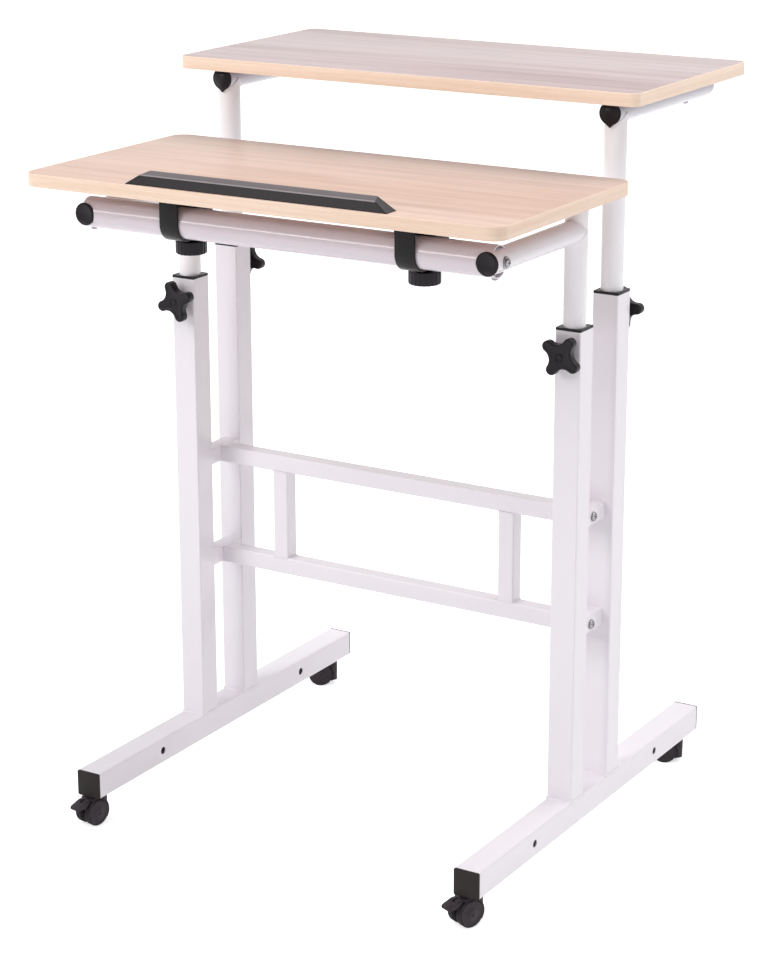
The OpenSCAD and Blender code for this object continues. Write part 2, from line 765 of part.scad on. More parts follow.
// Two-wheel caster body: a centre web, a swivel boss and a hood over the treads
module caster_body(braked) {
    difference() {
        union() {
            translate([0, caster_web_t / 2, 0]) rotate([90, 0, 0]) linear_extrude(caster_web_t)
                caster_web_outline(braked);
            translate([0, 0, wheel_r]) cylinder(r = stem_d, h = boss_top - wheel_r);
            translate([0, wheel_out - 2.2, 0]) rotate([90, 0, 0]) linear_extrude(2 * wheel_out - 4.4)
                difference() {
                    translate([caster_trail, wheel_r]) circle(hood_out);
                    translate([caster_trail, wheel_r]) circle(hood_in);
                    translate([-wheel_d, -wheel_d]) square([3 * wheel_d, wheel_d + wheel_r - 5]);
                    translate([caster_trail + (braked ? 7.6 : 11), 0]) square([wheel_d, 2 * wheel_d]);
                }
        }
        for (s = [-1, 1]) translate([caster_trail, s * (caster_web_t / 2 + wheel_d / 2), wheel_r])
            rotate([90, 0, 0]) cylinder(r = hood_in, h = wheel_d, center = true);
        translate([0, 0, stem_low - face_gap]) cylinder(r = stem_d / 2 + turn_gap, h = caster_h);
    }
}

// The two wheels on their axle
module caster_wheels() {
    translate([caster_trail, 0, wheel_r]) rotate([90, 0, 0]) {
        cylinder(r = axle_r, h = 2 * wheel_in, center = true);
        for (s = [0, 1]) mirror([0, 0, s]) rotate_extrude(convexity = 4) polygon([[0, wheel_in],
            [wheel_r - 0.8, wheel_in], [wheel_r, wheel_in + 0.8], [wheel_r, wheel_out - 1.8],
            [wheel_r - 0.5, wheel_out - 0.8], [wheel_r - 1.6, wheel_out - 0.2], [wheel_r - 3, wheel_out],
            [wheel_r - 3.6, wheel_out - 0.7], [4.5, wheel_out - 0.7], [3.5, wheel_out], [0, wheel_out]]);
    }
}

// The brake lever: a forked tab that hangs on a pin through the web's ear
module caster_brake() {
    reach = brake_reach;
    translate([caster_trail, 0, wheel_r]) {
        difference() {
            intersection() {
                translate([0, lever_half, 0]) rotate([90, 0, 0]) linear_extrude(2 * lever_half)
                    polygon([[9.5, pivot_z + 3.8], [14.5, pivot_z + 3.8], [reach, pivot_z - 2.4],
                        [reach, pivot_z - 4], [22, pivot_z - 3.6], [15.8, pivot_z - 3.6]]);
                linear_extrude(wheel_d) round_rect(2 * reach, 2 * lever_half, lever_round);
            }
            translate([0, -caster_web_t / 2 - face_gap, 0])
                cube([pivot_x + 5.4, caster_web_t + 2 * face_gap, wheel_d]);
        }
        translate([pivot_x, 0, pivot_z]) rotate([90, 0, 0]) cylinder(r = pin_r, h = 2 * lever_half - 1, center = true);
    }
}

module caster(s, end, heading) color("#1b1b1d") place_caster(s, end, heading) caster_body(end == 0);
module wheels(s, end, heading) color("#242428") place_caster(s, end, heading) caster_wheels();
module brake(s, end, heading) color("#1b1b1d") place_caster(s, end, heading) caster_brake();

foot_tube(-1);  // left_foot
foot_tube(1);  // right_foot
upright(-1, front_leg_y, front_top, -1);  // front_left_upright
upright(1, front_leg_y, front_top, -1);  // front_right_upright
upright(-1, rear_leg_y, rear_top, 1);  // rear_left_upright
upright(1, rear_leg_y, rear_top, 1);  // rear_right_upright
side_spacers();
rail(upper_rail_z);  // upper_rail
rail(lower_rail_z);  // lower_rail
strut(-1);  // left_strut
strut(1);  // right_strut
cross_frame_bolts();
foot_caps();
upright_collars();
weld_nuts();
caster_stems();
front_post(-1);  // front_left_post
front_post(1);  // front_right_post
front_arm(-1);  // left_arm
front_arm(1);  // right_arm
cross_tube();
arm_caps();
cross_tube_screws();
front_post_plugs();
glides(front_leg_y, front_post_bottom);  // front_post_glides
lower_board();
edge_band(lower_d, front_edge + lower_d / 2, lower_under, lower_corner);  // lower_edge_band
edge_stop();
clamp_strap(clamp_xs[0]);  // left_clamp_strap
clamp_strap(clamp_xs[1]);  // right_clamp_strap
clamp_saddle(clamp_xs[0]);  // left_clamp_saddle
clamp_saddle(clamp_xs[1]);  // right_clamp_saddle
clamp_screws();
clamp_knob(clamp_xs[0]);  // left_clamp_knob
clamp_knob(clamp_xs[1]);  // right_clamp_knob
front_star_knob(-1, star_turn_fl);  // front_left_star_knob
front_star_knob(1, star_turn_fr);  // front_right_star_knob
rear_star_knob(-1, star_turn_rl);  // rear_left_star_knob
rear_star_knob(1, star_turn_rr);  // rear_right_star_knob
rear_post(-1);  // rear_left_post
rear_post(1);  // rear_right_post
shelf_arm(-1);  // left_shelf_arm
shelf_arm(1);  // right_shelf_arm
shelf_arm_caps();
upper_board();
edge_band(upper_d, upper_front + upper_d / 2, upper_under, upper_corner);  // upper_edge_band
shelf_screws();
glides(rear_leg_y, rear_post_bottom);  // rear_post_glides
caster(-1, 0, heading_fl);  // front_left_caster
caster(1, 0, heading_fr);  // front_right_caster
caster(-1, 1, heading_rl);  // rear_left_caster
caster(1, 1, heading_rr);  // rear_right_caster
wheels(-1, 0, heading_fl);  // front_left_wheels
wheels(1, 0, heading_fr);  // front_right_wheels
wheels(-1, 1, heading_rl);  // rear_left_wheels
wheels(1, 1, heading_rr);  // rear_right_wheels
brake(-1, 0, heading_fl);  // front_left_brake
brake(1, 0, heading_fr);  // front_right_brake
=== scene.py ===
import math
import bmesh
import bpy
from mathutils import Matrix, Vector


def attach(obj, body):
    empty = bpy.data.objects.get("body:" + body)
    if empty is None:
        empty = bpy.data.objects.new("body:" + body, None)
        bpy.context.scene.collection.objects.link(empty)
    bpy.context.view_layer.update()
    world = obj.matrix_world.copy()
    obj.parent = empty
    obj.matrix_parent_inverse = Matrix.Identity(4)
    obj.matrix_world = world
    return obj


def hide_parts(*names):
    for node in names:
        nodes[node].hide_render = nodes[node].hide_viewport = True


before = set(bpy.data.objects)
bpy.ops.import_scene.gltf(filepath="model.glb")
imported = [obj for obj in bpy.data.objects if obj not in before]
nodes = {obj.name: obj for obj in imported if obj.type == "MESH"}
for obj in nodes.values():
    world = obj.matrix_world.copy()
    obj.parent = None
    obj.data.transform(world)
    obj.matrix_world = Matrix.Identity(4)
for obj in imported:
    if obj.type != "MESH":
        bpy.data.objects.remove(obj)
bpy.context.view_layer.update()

# A two-tier sit-stand desk on casters. Sizes in the dictionaries are in millimetres.
mm = 0.001

# What several pieces share: the legs (left and right, front and rear) and the tilt axis
desk = {"legX": 277, "legY": (-48, 49), "legSide": 34, "footTop": 74, "postRadius": 14,
        "tiltY": -244.4, "tiltZ": 790.6}


# Small helpers for working as by hand

def deselectAll():
    if bpy.context.object and bpy.context.object.mode != "OBJECT":
        bpy.ops.object.mode_set(mode="OBJECT")
    for thing in list(bpy.context.selected_objects):
        thing.select_set(False)


def activate(piece):
    deselectAll()
    piece.select_set(True)
    bpy.context.view_layer.objects.active = piece


def openMesh(piece):
    activate(piece)
    bpy.ops.object.mode_set(mode="EDIT")
    bpy.ops.mesh.select_mode(type="FACE")
    bpy.ops.mesh.select_all(action="DESELECT")


def closeMesh():
    bpy.ops.object.mode_set(mode="OBJECT")


def pickFaces(piece, wanted):
    bpy.ops.mesh.select_mode(type="FACE")
    bpy.ops.mesh.select_all(action="DESELECT")
    sketch = bmesh.from_edit_mesh(piece.data)
    for face in sketch.faces:
        face.select_set(bool(wanted(face.calc_center_median(), face.normal)))
    bmesh.update_edit_mesh(piece.data)


def pickEdges(piece, wanted):
    bpy.ops.mesh.select_mode(type="EDGE")
    bpy.ops.mesh.select_all(action="DESELECT")
    sketch = bmesh.from_edit_mesh(piece.data)
    for edge in sketch.edges:
        edge.select_set(bool(wanted(edge.verts[0].co, edge.verts[1].co)))
    bmesh.update_edit_mesh(piece.data)


def moveVerts(piece, place):
    sketch = bmesh.from_edit_mesh(piece.data)
    sketch.verts.ensure_lookup_table()
    for vert in sketch.verts:
        vert.co = Vector(place(vert.index, vert.co.copy()))
    bmesh.update_edit_mesh(piece.data)


def extrude(x=0.0, y=0.0, z=0.0):
    bpy.ops.mesh.extrude_region_move(TRANSFORM_OT_translate={"value": (x, y, z)})


def useModifier(piece, kind, **settings):
    activate(piece)
    modifier = piece.modifiers.new(kind.lower(), kind)
    for key, value in settings.items():
        setattr(modifier, key, value)
    bpy.ops.object.modifier_apply(modifier=modifier.name)


def softenEdges(piece, width, segments=3, angle=30):
    useModifier(piece, "BEVEL", width=width * mm, segments=segments, limit_method="ANGLE",
                angle_limit=math.radians(angle), use_clamp_overlap=True)


def cutAway(piece, cutter):
    useModifier(piece, "BOOLEAN", operation="DIFFERENCE", object=cutter, solver="EXACT")
    bpy.data.objects.remove(cutter, do_unlink=True)


def fixNormals(piece):
    openMesh(piece)
    bpy.ops.mesh.select_all(action="SELECT")
    bpy.ops.mesh.remove_doubles(threshold=0.000002)
    bpy.ops.mesh.normals_make_consistent(inside=False)
    closeMesh()


def applyPlace(piece):
    activate(piece)
    bpy.ops.object.transform_apply(location=True, rotation=True, scale=True)


def setAt(piece, place):
    piece.matrix_world = place
    applyPlace(piece)
    return piece


def joinPieces(pieces):
    deselectAll()
    for piece in pieces:
        piece.select_set(True)
    bpy.context.view_layer.objects.active = pieces[0]
    bpy.ops.object.join()
    return pieces[0]


def copyTo(piece, place):
    twin = piece.copy()
    twin.data = piece.data.copy()
    bpy.context.collection.objects.link(twin)
    return setAt(twin, place)


def scrap(piece):
    bpy.data.objects.remove(piece, do_unlink=True)


def finishPiece(piece, name, finish, body, slotName, *replaced, angle=35):
    piece.name = name
    piece.data.name = name
    activate(piece)
    bpy.ops.object.shade_smooth_by_angle(angle=math.radians(angle))
    piece.data.materials.clear()
    piece.data.materials.append(finish)
    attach(piece, body)
    if replaced:
        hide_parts(*replaced)
    return piece


def addRing(points):  # a flat face through these points, left open for editing
    bpy.ops.mesh.primitive_circle_add(vertices=len(points), radius=0.01, fill_type="NGON")
    piece = bpy.context.object
    openMesh(piece)
    moveVerts(piece, lambda i, co: points[i])
    bpy.ops.mesh.select_all(action="SELECT")
    return piece


def turnPiece(profile, steps=64):  # profile: radius and height of each ring, from one end to the other
    radius, height = profile[0]
    angles = [2 * math.pi * i / steps for i in range(steps)]
    piece = addRing([(radius * mm * math.cos(a), radius * mm * math.sin(a), height * mm) for a in angles])
    for nextRadius, nextHeight in profile[1:]:
        extrude(z=(nextHeight - height) * mm)
        ratio = nextRadius / radius
        bpy.ops.transform.resize(value=(ratio, ratio, 1), center_override=(0, 0, nextHeight * mm))
        radius, height = nextRadius, nextHeight
    closeMesh()
    fixNormals(piece)
    return piece


def addBox(low, high):  # corners in millimetres
    size = [(b - a) * mm for a, b in zip(low, high)]
    middle = [(a + b) * mm / 2 for a, b in zip(low, high)]
    bpy.ops.mesh.primitive_cube_add(size=1, location=middle, scale=size)
    piece = bpy.context.object
    applyPlace(piece)
    return piece


def softCopy(nodeName, width, segments=3):  # a CAD node with its edges rounded
    piece = nodes[nodeName].copy()
    piece.data = nodes[nodeName].data.copy()
    piece.parent = None
    piece.matrix_world = Matrix.Identity(4)
    bpy.context.collection.objects.link(piece)
    openMesh(piece)
    bpy.ops.mesh.select_all(action="SELECT")
    bpy.ops.mesh.remove_doubles(threshold=0.000005)
    bpy.ops.mesh.dissolve_limited(angle_limit=math.radians(1))
    closeMesh()
    softenEdges(piece, width, segments)
    return piece


# Materials

def newFinish(name, metallic=0.0, specular=0.5):
    material = bpy.data.materials.new(name)
    material.use_nodes = True
    tree = material.node_tree
    shader = tree.nodes["Principled BSDF"]
    shader.inputs["Metallic"].default_value = metallic
    shader.inputs["Specular IOR Level"].default_value = specular
    coords = tree.nodes.new("ShaderNodeTexCoord")
    return material, tree, shader, coords.outputs["Object"]


def stretched(tree, vector, scale, location=(0, 0, 0)):
    mapping = tree.nodes.new("ShaderNodeMapping")
    mapping.inputs["Scale"].default_value = scale
    mapping.inputs["Location"].default_value = location
    tree.links.new(vector, mapping.inputs["Vector"])
    return mapping.outputs["Vector"]


def noise(tree, vector, scale, detail=2.0, rough=0.5, distortion=0.0):
    texture = tree.nodes.new("ShaderNodeTexNoise")
    texture.inputs["Scale"].default_value = scale
    texture.inputs["Detail"].default_value = detail
    texture.inputs["Roughness"].default_value = rough
    texture.inputs["Distortion"].default_value = distortion
    tree.links.new(vector, texture.inputs["Vector"])
    return texture.outputs[0]


def ramp(tree, factor, stops):  # stops: position and grey or colour
    node = tree.nodes.new("ShaderNodeValToRGB")
    elements = node.color_ramp.elements
    while len(elements) < len(stops):
        elements.new(0.5)
    for element, (position, colour) in zip(elements, stops):
        element.position = position
        element.color = (colour, colour, colour, 1) if isinstance(colour, (int, float)) else (*colour, 1)
    tree.links.new(factor, node.inputs["Fac"])
    return node.outputs["Color"]


def mixed(tree, factor, first, second, blend="MIX"):
    node = tree.nodes.new("ShaderNodeMix")
    node.data_type = "RGBA"
    node.blend_type = blend
    for socket, value in ((node.inputs[0], factor), (node.inputs[6], first), (node.inputs[7], second)):
        if hasattr(value, "is_linked"):
            tree.links.new(value, socket)
        elif isinstance(value, (int, float)):
            socket.default_value = value
        else:
            socket.default_value = (*value, 1)
    return node.outputs[2]


def rescaled(tree, value, low, high):
    node = tree.nodes.new("ShaderNodeMapRange")
    node.inputs["To Min"].default_value = low
    node.inputs["To Max"].default_value = high
    tree.links.new(value, node.inputs["Value"])
    return node.outputs["Result"]


def bumped(tree, shader, height, strength, depth):
    node = tree.nodes.new("ShaderNodeBump")
    node.inputs["Strength"].default_value = strength
    node.inputs["Distance"].default_value = depth * mm
    tree.links.new(height, node.inputs["Height"])
    tree.links.new(node.outputs["Normal"], shader.inputs["Normal"])


powderCoatLook = {"colour": (0.865, 0.825, 0.865), "shade": (0.825, 0.785, 0.83), "patchScale": 7,
                  "peelScale": 750, "peelDepth": 0.015, "roughness": (0.14, 0.22)}
# The posts' look is the white coat made lighter: painted light, brightening the posts beyond the uprights
postLitCoatLook = {**powderCoatLook, "colour": (0.955, 0.935, 0.955), "shade": (0.925, 0.90, 0.925)}


def makePowderCoat(name, tint, look=powderCoatLook):
    material, tree, shader, place = newFinish(name)
    patches = noise(tree, place, look["patchScale"], 3)
    colour = mixed(tree, 1.0, mixed(tree, patches, look["shade"], look["colour"]), tint, "MULTIPLY")
    tree.links.new(colour, shader.inputs["Base Color"])
    peel = noise(tree, place, look["peelScale"], 2, 0.4)
    tree.links.new(rescaled(tree, patches, *look["roughness"]), shader.inputs["Roughness"])
    bumped(tree, shader, peel, 0.35, look["peelDepth"])
    return material


laminateLook = {"light": (0.76, 0.585, 0.51), "middle": (0.69, 0.51, 0.435), "dark": (0.60, 0.43, 0.375),
                "line": 0.84, "lineStrength": 0.35, "streak": 0.90, "fibre": 0.90,
                "pore": 0.76, "poreStrength": 0.6, "roughness": (0.27, 0.38), "specular": 0.06,
                "plankGrid": (0.8, 11, 11), "lineGrid": (0.18, 1, 1), "streakGrid": (3.2, 85, 85),
                "fibreGrid": (9, 520, 520), "poreGrid": (45, 1500, 1500),
                "wave": {"Scale": 9, "Distortion": 5, "Detail": 3, "Detail Scale": 0.8, "Detail Roughness": 0.6}}


def makeLaminate(name, shift, tint, look=laminateLook):
    material, tree, shader, place = newFinish(name, specular=look["specular"])
    place = stretched(tree, place, (1, 1, 1), shift)
    planks = noise(tree, stretched(tree, place, look["plankGrid"]), 1, 3, 0.55, 0.6)
    colour = ramp(tree, planks, [(0.30, look["dark"]), (0.46, look["middle"]), (0.62, look["light"])])
    wave = tree.nodes.new("ShaderNodeTexWave")
    wave.bands_direction = "Y"
    for key, value in look["wave"].items():
        wave.inputs[key].default_value = value
    tree.links.new(stretched(tree, place, look["lineGrid"]), wave.inputs["Vector"])
    lines = ramp(tree, wave.outputs[0], [(0.0, look["line"]), (0.35, 1.0), (1.0, 1.0)])
    colour = mixed(tree, look["lineStrength"], colour, lines, "MULTIPLY")
    streaks = noise(tree, stretched(tree, place, look["streakGrid"]), 1, 2, 0.5, 0.4)
    streakShade = ramp(tree, streaks, [(0.34, look["streak"]), (0.52, 1.0)])
    colour = mixed(tree, 1.0, colour, streakShade, "MULTIPLY")
    fibres = noise(tree, stretched(tree, place, look["fibreGrid"]), 1, 3, 0.6)
    fibreShade = ramp(tree, fibres, [(0.3, look["fibre"]), (0.6, 1.0)])
    colour = mixed(tree, 1.0, colour, fibreShade, "MULTIPLY")
    dashes = noise(tree, stretched(tree, place, look["poreGrid"]), 1, 1, 0.4)
    pores = ramp(tree, dashes, [(0.30, look["pore"]), (0.36, 1.0)])
    colour = mixed(tree, look["poreStrength"], colour, pores, "MULTIPLY")
    colour = mixed(tree, 1.0, colour, tint, "MULTIPLY")
    tree.links.new(colour, shader.inputs["Base Color"])
    tree.links.new(rescaled(tree, fibres, *look["roughness"]), shader.inputs["Roughness"])
    bumped(tree, shader, mixed(tree, 0.5, fibres, pores), 0.25, 0.03)
    return material


edgeBandLook = {"light": (0.90, 0.70, 0.56), "dark": (0.84, 0.62, 0.47), "speck": 0.84, "speckStrength": 0.5,
                "roughness": (0.33, 0.45), "streakGrid": (5, 5, 260), "speckGrid": (60, 60, 1400)}


def makeEdgeBand(name, tint, look=edgeBandLook):
    material, tree, shader, place = newFinish(name)
    streaks = noise(tree, stretched(tree, place, look["streakGrid"]), 1, 3, 0.6, 0.3)
    colour = ramp(tree, streaks, [(0.35, look["dark"]), (0.62, look["light"])])
    specks = noise(tree, stretched(tree, place, look["speckGrid"]), 1, 1)
    speckShade = ramp(tree, specks, [(0.32, look["speck"]), (0.4, 1.0)])
    colour = mixed(tree, look["speckStrength"], colour, speckShade, "MULTIPLY")
    colour = mixed(tree, 1.0, colour, tint, "MULTIPLY")
    tree.links.new(colour, shader.inputs["Base Color"])
    tree.links.new(rescaled(tree, streaks, *look["roughness"]), shader.inputs["Roughness"])
    bumped(tree, shader, streaks, 0.2, 0.03)
    return material


def makePlastic(name, colour, shade, roughness, grain, depth, specular):
    material, tree, shader, place = newFinish(name, specular=specular)
    clouds = noise(tree, place, 35, 3)
    tree.links.new(mixed(tree, clouds, shade, colour), shader.inputs["Base Color"])
    pits = noise(tree, place, grain, 3, 0.6)
    tree.links.new(rescaled(tree, pits, *roughness), shader.inputs["Roughness"])
    bumped(tree, shader, pits, 0.4, depth)
    return material


def makeMetal(name, colour, shade, roughness, brush):
    material, tree, shader, place = newFinish(name, metallic=1.0)
    clouds = noise(tree, place, 90, 3)
    tree.links.new(mixed(tree, clouds, shade, colour), shader.inputs["Base Color"])
    scratches = noise(tree, stretched(tree, place, brush), 1, 2, 0.6)
    tree.links.new(rescaled(tree, scratches, *roughness), shader.inputs["Roughness"])
    bumped(tree, shader, scratches, 0.15, 0.01)
    return material


powderCoat = makePowderCoat("whitePowderCoat", (1, 1, 1))
# A lighter copy of the white coat for the posts: painted light
postLitCoat = makePowderCoat("postLitCoat", (1, 1, 1), postLitCoatLook)
# The shelf arms' coat is the white coat tinted grey: painted shade from the shelf above them
shelfArmShadedCoat = makePowderCoat("shelfArmShadedCoat", (0.74, 0.75, 0.78))
# The cross tube's coat is the white coat tinted darker and pinker: painted shade from the worktop above it
crossTubeShadedCoat = makePowderCoat("crossTubeShadedCoat", (0.90, 0.85, 0.87))
worktopLaminate = makeLaminate("worktopLaminate", (0.31, 0.12, 0), (0.90, 0.865, 0.825))
shelfLaminate = makeLaminate("shelfLaminate", (-1.37, 0.55, 0), (0.675, 0.725, 0.835))
worktopEdge = makeEdgeBand("worktopEdge", (1, 1, 1))
# The shelf's band is the edge band made lighter: painted light where less lamp light reaches the shelf's front
shelfEdgeLit = makeEdgeBand("shelfEdgeLit", (1.07, 1.09, 1.10))
blackPlastic = makePlastic("blackPlastic", colour=(0.018, 0.0145, 0.0185), shade=(0.0125, 0.010, 0.013),
                           roughness=(0.26, 0.38), grain=1400, depth=0.02, specular=0.16)
capPlastic = makePlastic("capPlastic", colour=(0.025, 0.0195, 0.0195), shade=(0.019, 0.015, 0.015),
                         roughness=(0.40, 0.55), grain=900, depth=0.03, specular=0.16)
stopRubber = makePlastic("stopRubber", colour=(0.021, 0.017, 0.0195), shade=(0.015, 0.012, 0.014),
                         roughness=(0.34, 0.46), grain=700, depth=0.03, specular=0.12)
# A lighter grey for the stop's ridge rounding: a painted highlight standing in for the gloss on that edge
ridgePaintedHighlight = makePlastic("ridgePaintedHighlight", colour=(0.30, 0.26, 0.27), shade=(0.20, 0.17, 0.18),
                          roughness=(0.30, 0.42), grain=700, depth=0.03, specular=0.3)
# A lighter rubber for the stop's flat top faces: painted light from above
stopTopPaintedLight = makePlastic("stopTopPaintedLight", colour=(0.105, 0.085, 0.09), shade=(0.075, 0.062, 0.068),
                      roughness=(0.36, 0.48), grain=700, depth=0.03, specular=0.3)
wheelPlastic = makePlastic("wheelPlastic", colour=(0.040, 0.0305, 0.037), shade=(0.028, 0.0215, 0.0265),
                           roughness=(0.30, 0.42), grain=1100, depth=0.015, specular=0.18)
treadRubber = makePlastic("treadRubber", colour=(0.031, 0.026, 0.031), shade=(0.023, 0.020, 0.023),
                          roughness=(0.55, 0.7), grain=800, depth=0.03, specular=0.16)
strapCoat = makePlastic("strapCoat", colour=(0.013, 0.011, 0.0125), shade=(0.009, 0.008, 0.0095),
                        roughness=(0.24, 0.34), grain=600, depth=0.015, specular=0.18)
zincSteel = makeMetal("zincSteel", colour=(0.34, 0.33, 0.35), shade=(0.22, 0.21, 0.23),
                      roughness=(0.20, 0.36), brush=(300, 300, 300))
print("materials ready")


def coatNodes(finish, *names):
    for name in names:
        if nodes[name].material_slots:
            for slotItem in nodes[name].material_slots:
                slotItem.material = finish
        else:
            nodes[name].data.materials.append(finish)


coatNodes(powderCoat, "left_foot", "right_foot", "front_left_upright", "front_right_upright", "rear_left_upright",
          "rear_right_upright", "side_spacers", "upper_rail", "lower_rail", "left_strut", "right_strut",
          "left_arm", "right_arm")
# The posts get the lightened white coat: painted light
coatNodes(postLitCoat, "front_left_post", "front_right_post", "rear_left_post", "rear_right_post")
# The shelf arms get the grey-tinted white coat: painted shade
coatNodes(shelfArmShadedCoat, "left_shelf_arm", "right_shelf_arm")
# The cross tube gets the darkened white coat: painted shade
coatNodes(crossTubeShadedCoat, "cross_tube")
coatNodes(zincSteel, "weld_nuts", "caster_stems")
coatNodes(capPlastic, "front_post_plugs", "front_post_glides", "rear_post_glides")
print("tubes coated")


# The tops: a board with a thin band glued round it

worktop = {"low": (-325, -321, 830), "high": (325, 3, 846), "corner": 20, "band": 1.0, "rim": 0.4,
           "boardRim": 0.15, "cornerSteps": 14}
shelf = {"low": (-325, 5, 930), "high": (325, 321, 946), "corner": 12, "band": 1.0, "rim": 0.4,
         "boardRim": 0.15, "cornerSteps": 14}


def makeSlab(low, high, corner, steps):
    piece = addBox(low, high)
    openMesh(piece)
    pickEdges(piece, lambda a, b: abs(a.z - b.z) > 0.005)
    bpy.ops.mesh.bevel(offset=corner * mm, segments=steps, affect="EDGES")
    closeMesh()
    return piece


def makeBoard(top, name, finish, body, slotName, nodeName):
    inset = top["band"]
    low = [top["low"][0] + inset, top["low"][1] + inset, top["low"][2]]
    high = [top["high"][0] - inset, top["high"][1] - inset, top["high"][2]]
    piece = makeSlab(low, high, top["corner"] - inset, top["cornerSteps"])
    softenEdges(piece, top["boardRim"], segments=2, angle=60)
    return finishPiece(piece, name, finish, body, slotName, nodeName)


def makeBand(top, name, finish, body, nodeName):
    piece = makeSlab(top["low"], top["high"], top["corner"], top["cornerSteps"])
    openMesh(piece)
    pickFaces(piece, lambda centre, normal: abs(normal.z) > 0.9)
    bpy.ops.mesh.delete(type="FACE")
    closeMesh()
    useModifier(piece, "SOLIDIFY", thickness=top["band"] * mm, offset=-1, use_even_offset=True)
    softenEdges(piece, top["rim"], segments=3, angle=60)
    return finishPiece(piece, name, finish, body, "edge_band", nodeName)


makeBoard(worktop, "worktopBoard", worktopLaminate, "worktop", "worktop_laminate", "lower_board")
makeBand(worktop, "worktopBand", worktopEdge, "worktop", "lower_edge_band")
makeBoard(shelf, "shelfBoard", shelfLaminate, "rear_carriage", "shelf_laminate", "upper_board")
# The shelf's band uses the lightened edge band: painted light
makeBand(shelf, "shelfBand", shelfEdgeLit, "rear_carriage", "upper_edge_band")
print("tops made")


# The edge stop: a soft wedge with sloping ends

stop = {"middle": 3, "front": -317, "base": 846, "length": 357, "topLength": 309, "height": 15,
        "profile": [(0, 0), (6, 11.5), (20, 15), (22, 0)], "round": 1.1,
        "ridgeTilt": 50, "ridgeSpread": 0.22, "ridgeDrop": 1.5}


def makeStop(spec):
    left = spec["middle"] - spec["length"] / 2
    ring = [(left * mm, (spec["front"] + y) * mm, (spec["base"] + z) * mm) for y, z in spec["profile"]]
    piece = addRing(ring)
    extrude(x=spec["length"] * mm)
    slope = (spec["length"] - spec["topLength"]) / 2 / spec["height"]

    def slopeEnds(i, co):
        side = 1 if co.x > spec["middle"] * mm else -1
        return (co.x - side * slope * (co.z - spec["base"] * mm), co.y, co.z)

    moveVerts(piece, slopeEnds)
    closeMesh()
    fixNormals(piece)
    softenEdges(piece, spec["round"], segments=4, angle=20)
    finishPiece(piece, "edgeStop", stopRubber, "worktop", "black_rubber", "edge_stop")
    piece.data.materials.append(ridgePaintedHighlight)
    piece.data.materials.append(stopTopPaintedLight)
    openMesh(piece)
    # The ridge rounding faces get the lighter material: a painted highlight
    ridge = math.sin(math.radians(spec["ridgeTilt"]))
    ridgeLow = (spec["base"] + spec["profile"][1][1] - spec["ridgeDrop"]) * mm
    pickFaces(piece, lambda centre, normal: abs(normal.x) < 0.1 and normal.y < 0
              and abs(normal.z - ridge) < spec["ridgeSpread"] and centre.z > ridgeLow)
    piece.active_material_index = 1
    bpy.ops.object.material_slot_assign()
    # The upward faces get the lighter material: painted light from above
    pickFaces(piece, lambda centre, normal: normal.z > 0.95)
    piece.active_material_index = 2
    bpy.ops.object.material_slot_assign()
    closeMesh()
    return piece


makeStop(stop)
print("edge stop made")


# The star knobs: four lobes joined by hollow flanks, on a threaded stud

starKnob = {"overall": 53.6, "lobe": 6.8, "waist": 14.8, "thick": 12, "edge": 2.2, "hub": 3, "stud": 4,
            "studLength": 9.4, "pitch": 1.2, "turns": 7, "threadDepth": 0.5, "rim": 0.9, "rimStep": 0.7,
            "rimDepth": 0.7, "dish": 6.4, "dishDepth": 1.6, "round": 0.35, "lobeSteps": 14, "flankSteps": 8,
            "standOff": 6.7, "heights": (646, 671)}
starPlaces = [("frontLeft", "front_left", -1, 0, 22), ("frontRight", "front_right", 1, 0, 56),
              ("rearLeft", "rear_left", -1, 1, -12), ("rearRight", "rear_right", 1, 1, 5)]


def starOutline(spec):
    reach = spec["overall"] / 2 - spec["lobe"]
    inner = spec["waist"] - spec["lobe"]
    flankAt = (reach ** 2 - inner ** 2) / (math.sqrt(2) * reach - 2 * inner)
    flankRadius = flankAt - spec["waist"]
    flankPlace = Vector((flankAt / math.sqrt(2), flankAt / math.sqrt(2)))
    towards = flankPlace - Vector((reach, 0))
    lobeEnd = math.atan2(towards.y, towards.x)
    points = []
    for quarter in range(4):
        turn = Matrix.Rotation(quarter * math.pi / 2, 2)
        for i in range(spec["lobeSteps"] + 1):
            a = -lobeEnd + 2 * lobeEnd * i / spec["lobeSteps"]
            points.append(turn @ Vector((reach + spec["lobe"] * math.cos(a), spec["lobe"] * math.sin(a))))
        start = lobeEnd + math.pi
        end = math.pi + math.pi / 2 - lobeEnd
        for i in range(1, spec["flankSteps"]):
            a = start + (end - start) * i / spec["flankSteps"]
            points.append(turn @ (flankPlace + flankRadius * Vector((math.cos(a), math.sin(a)))))
    return points


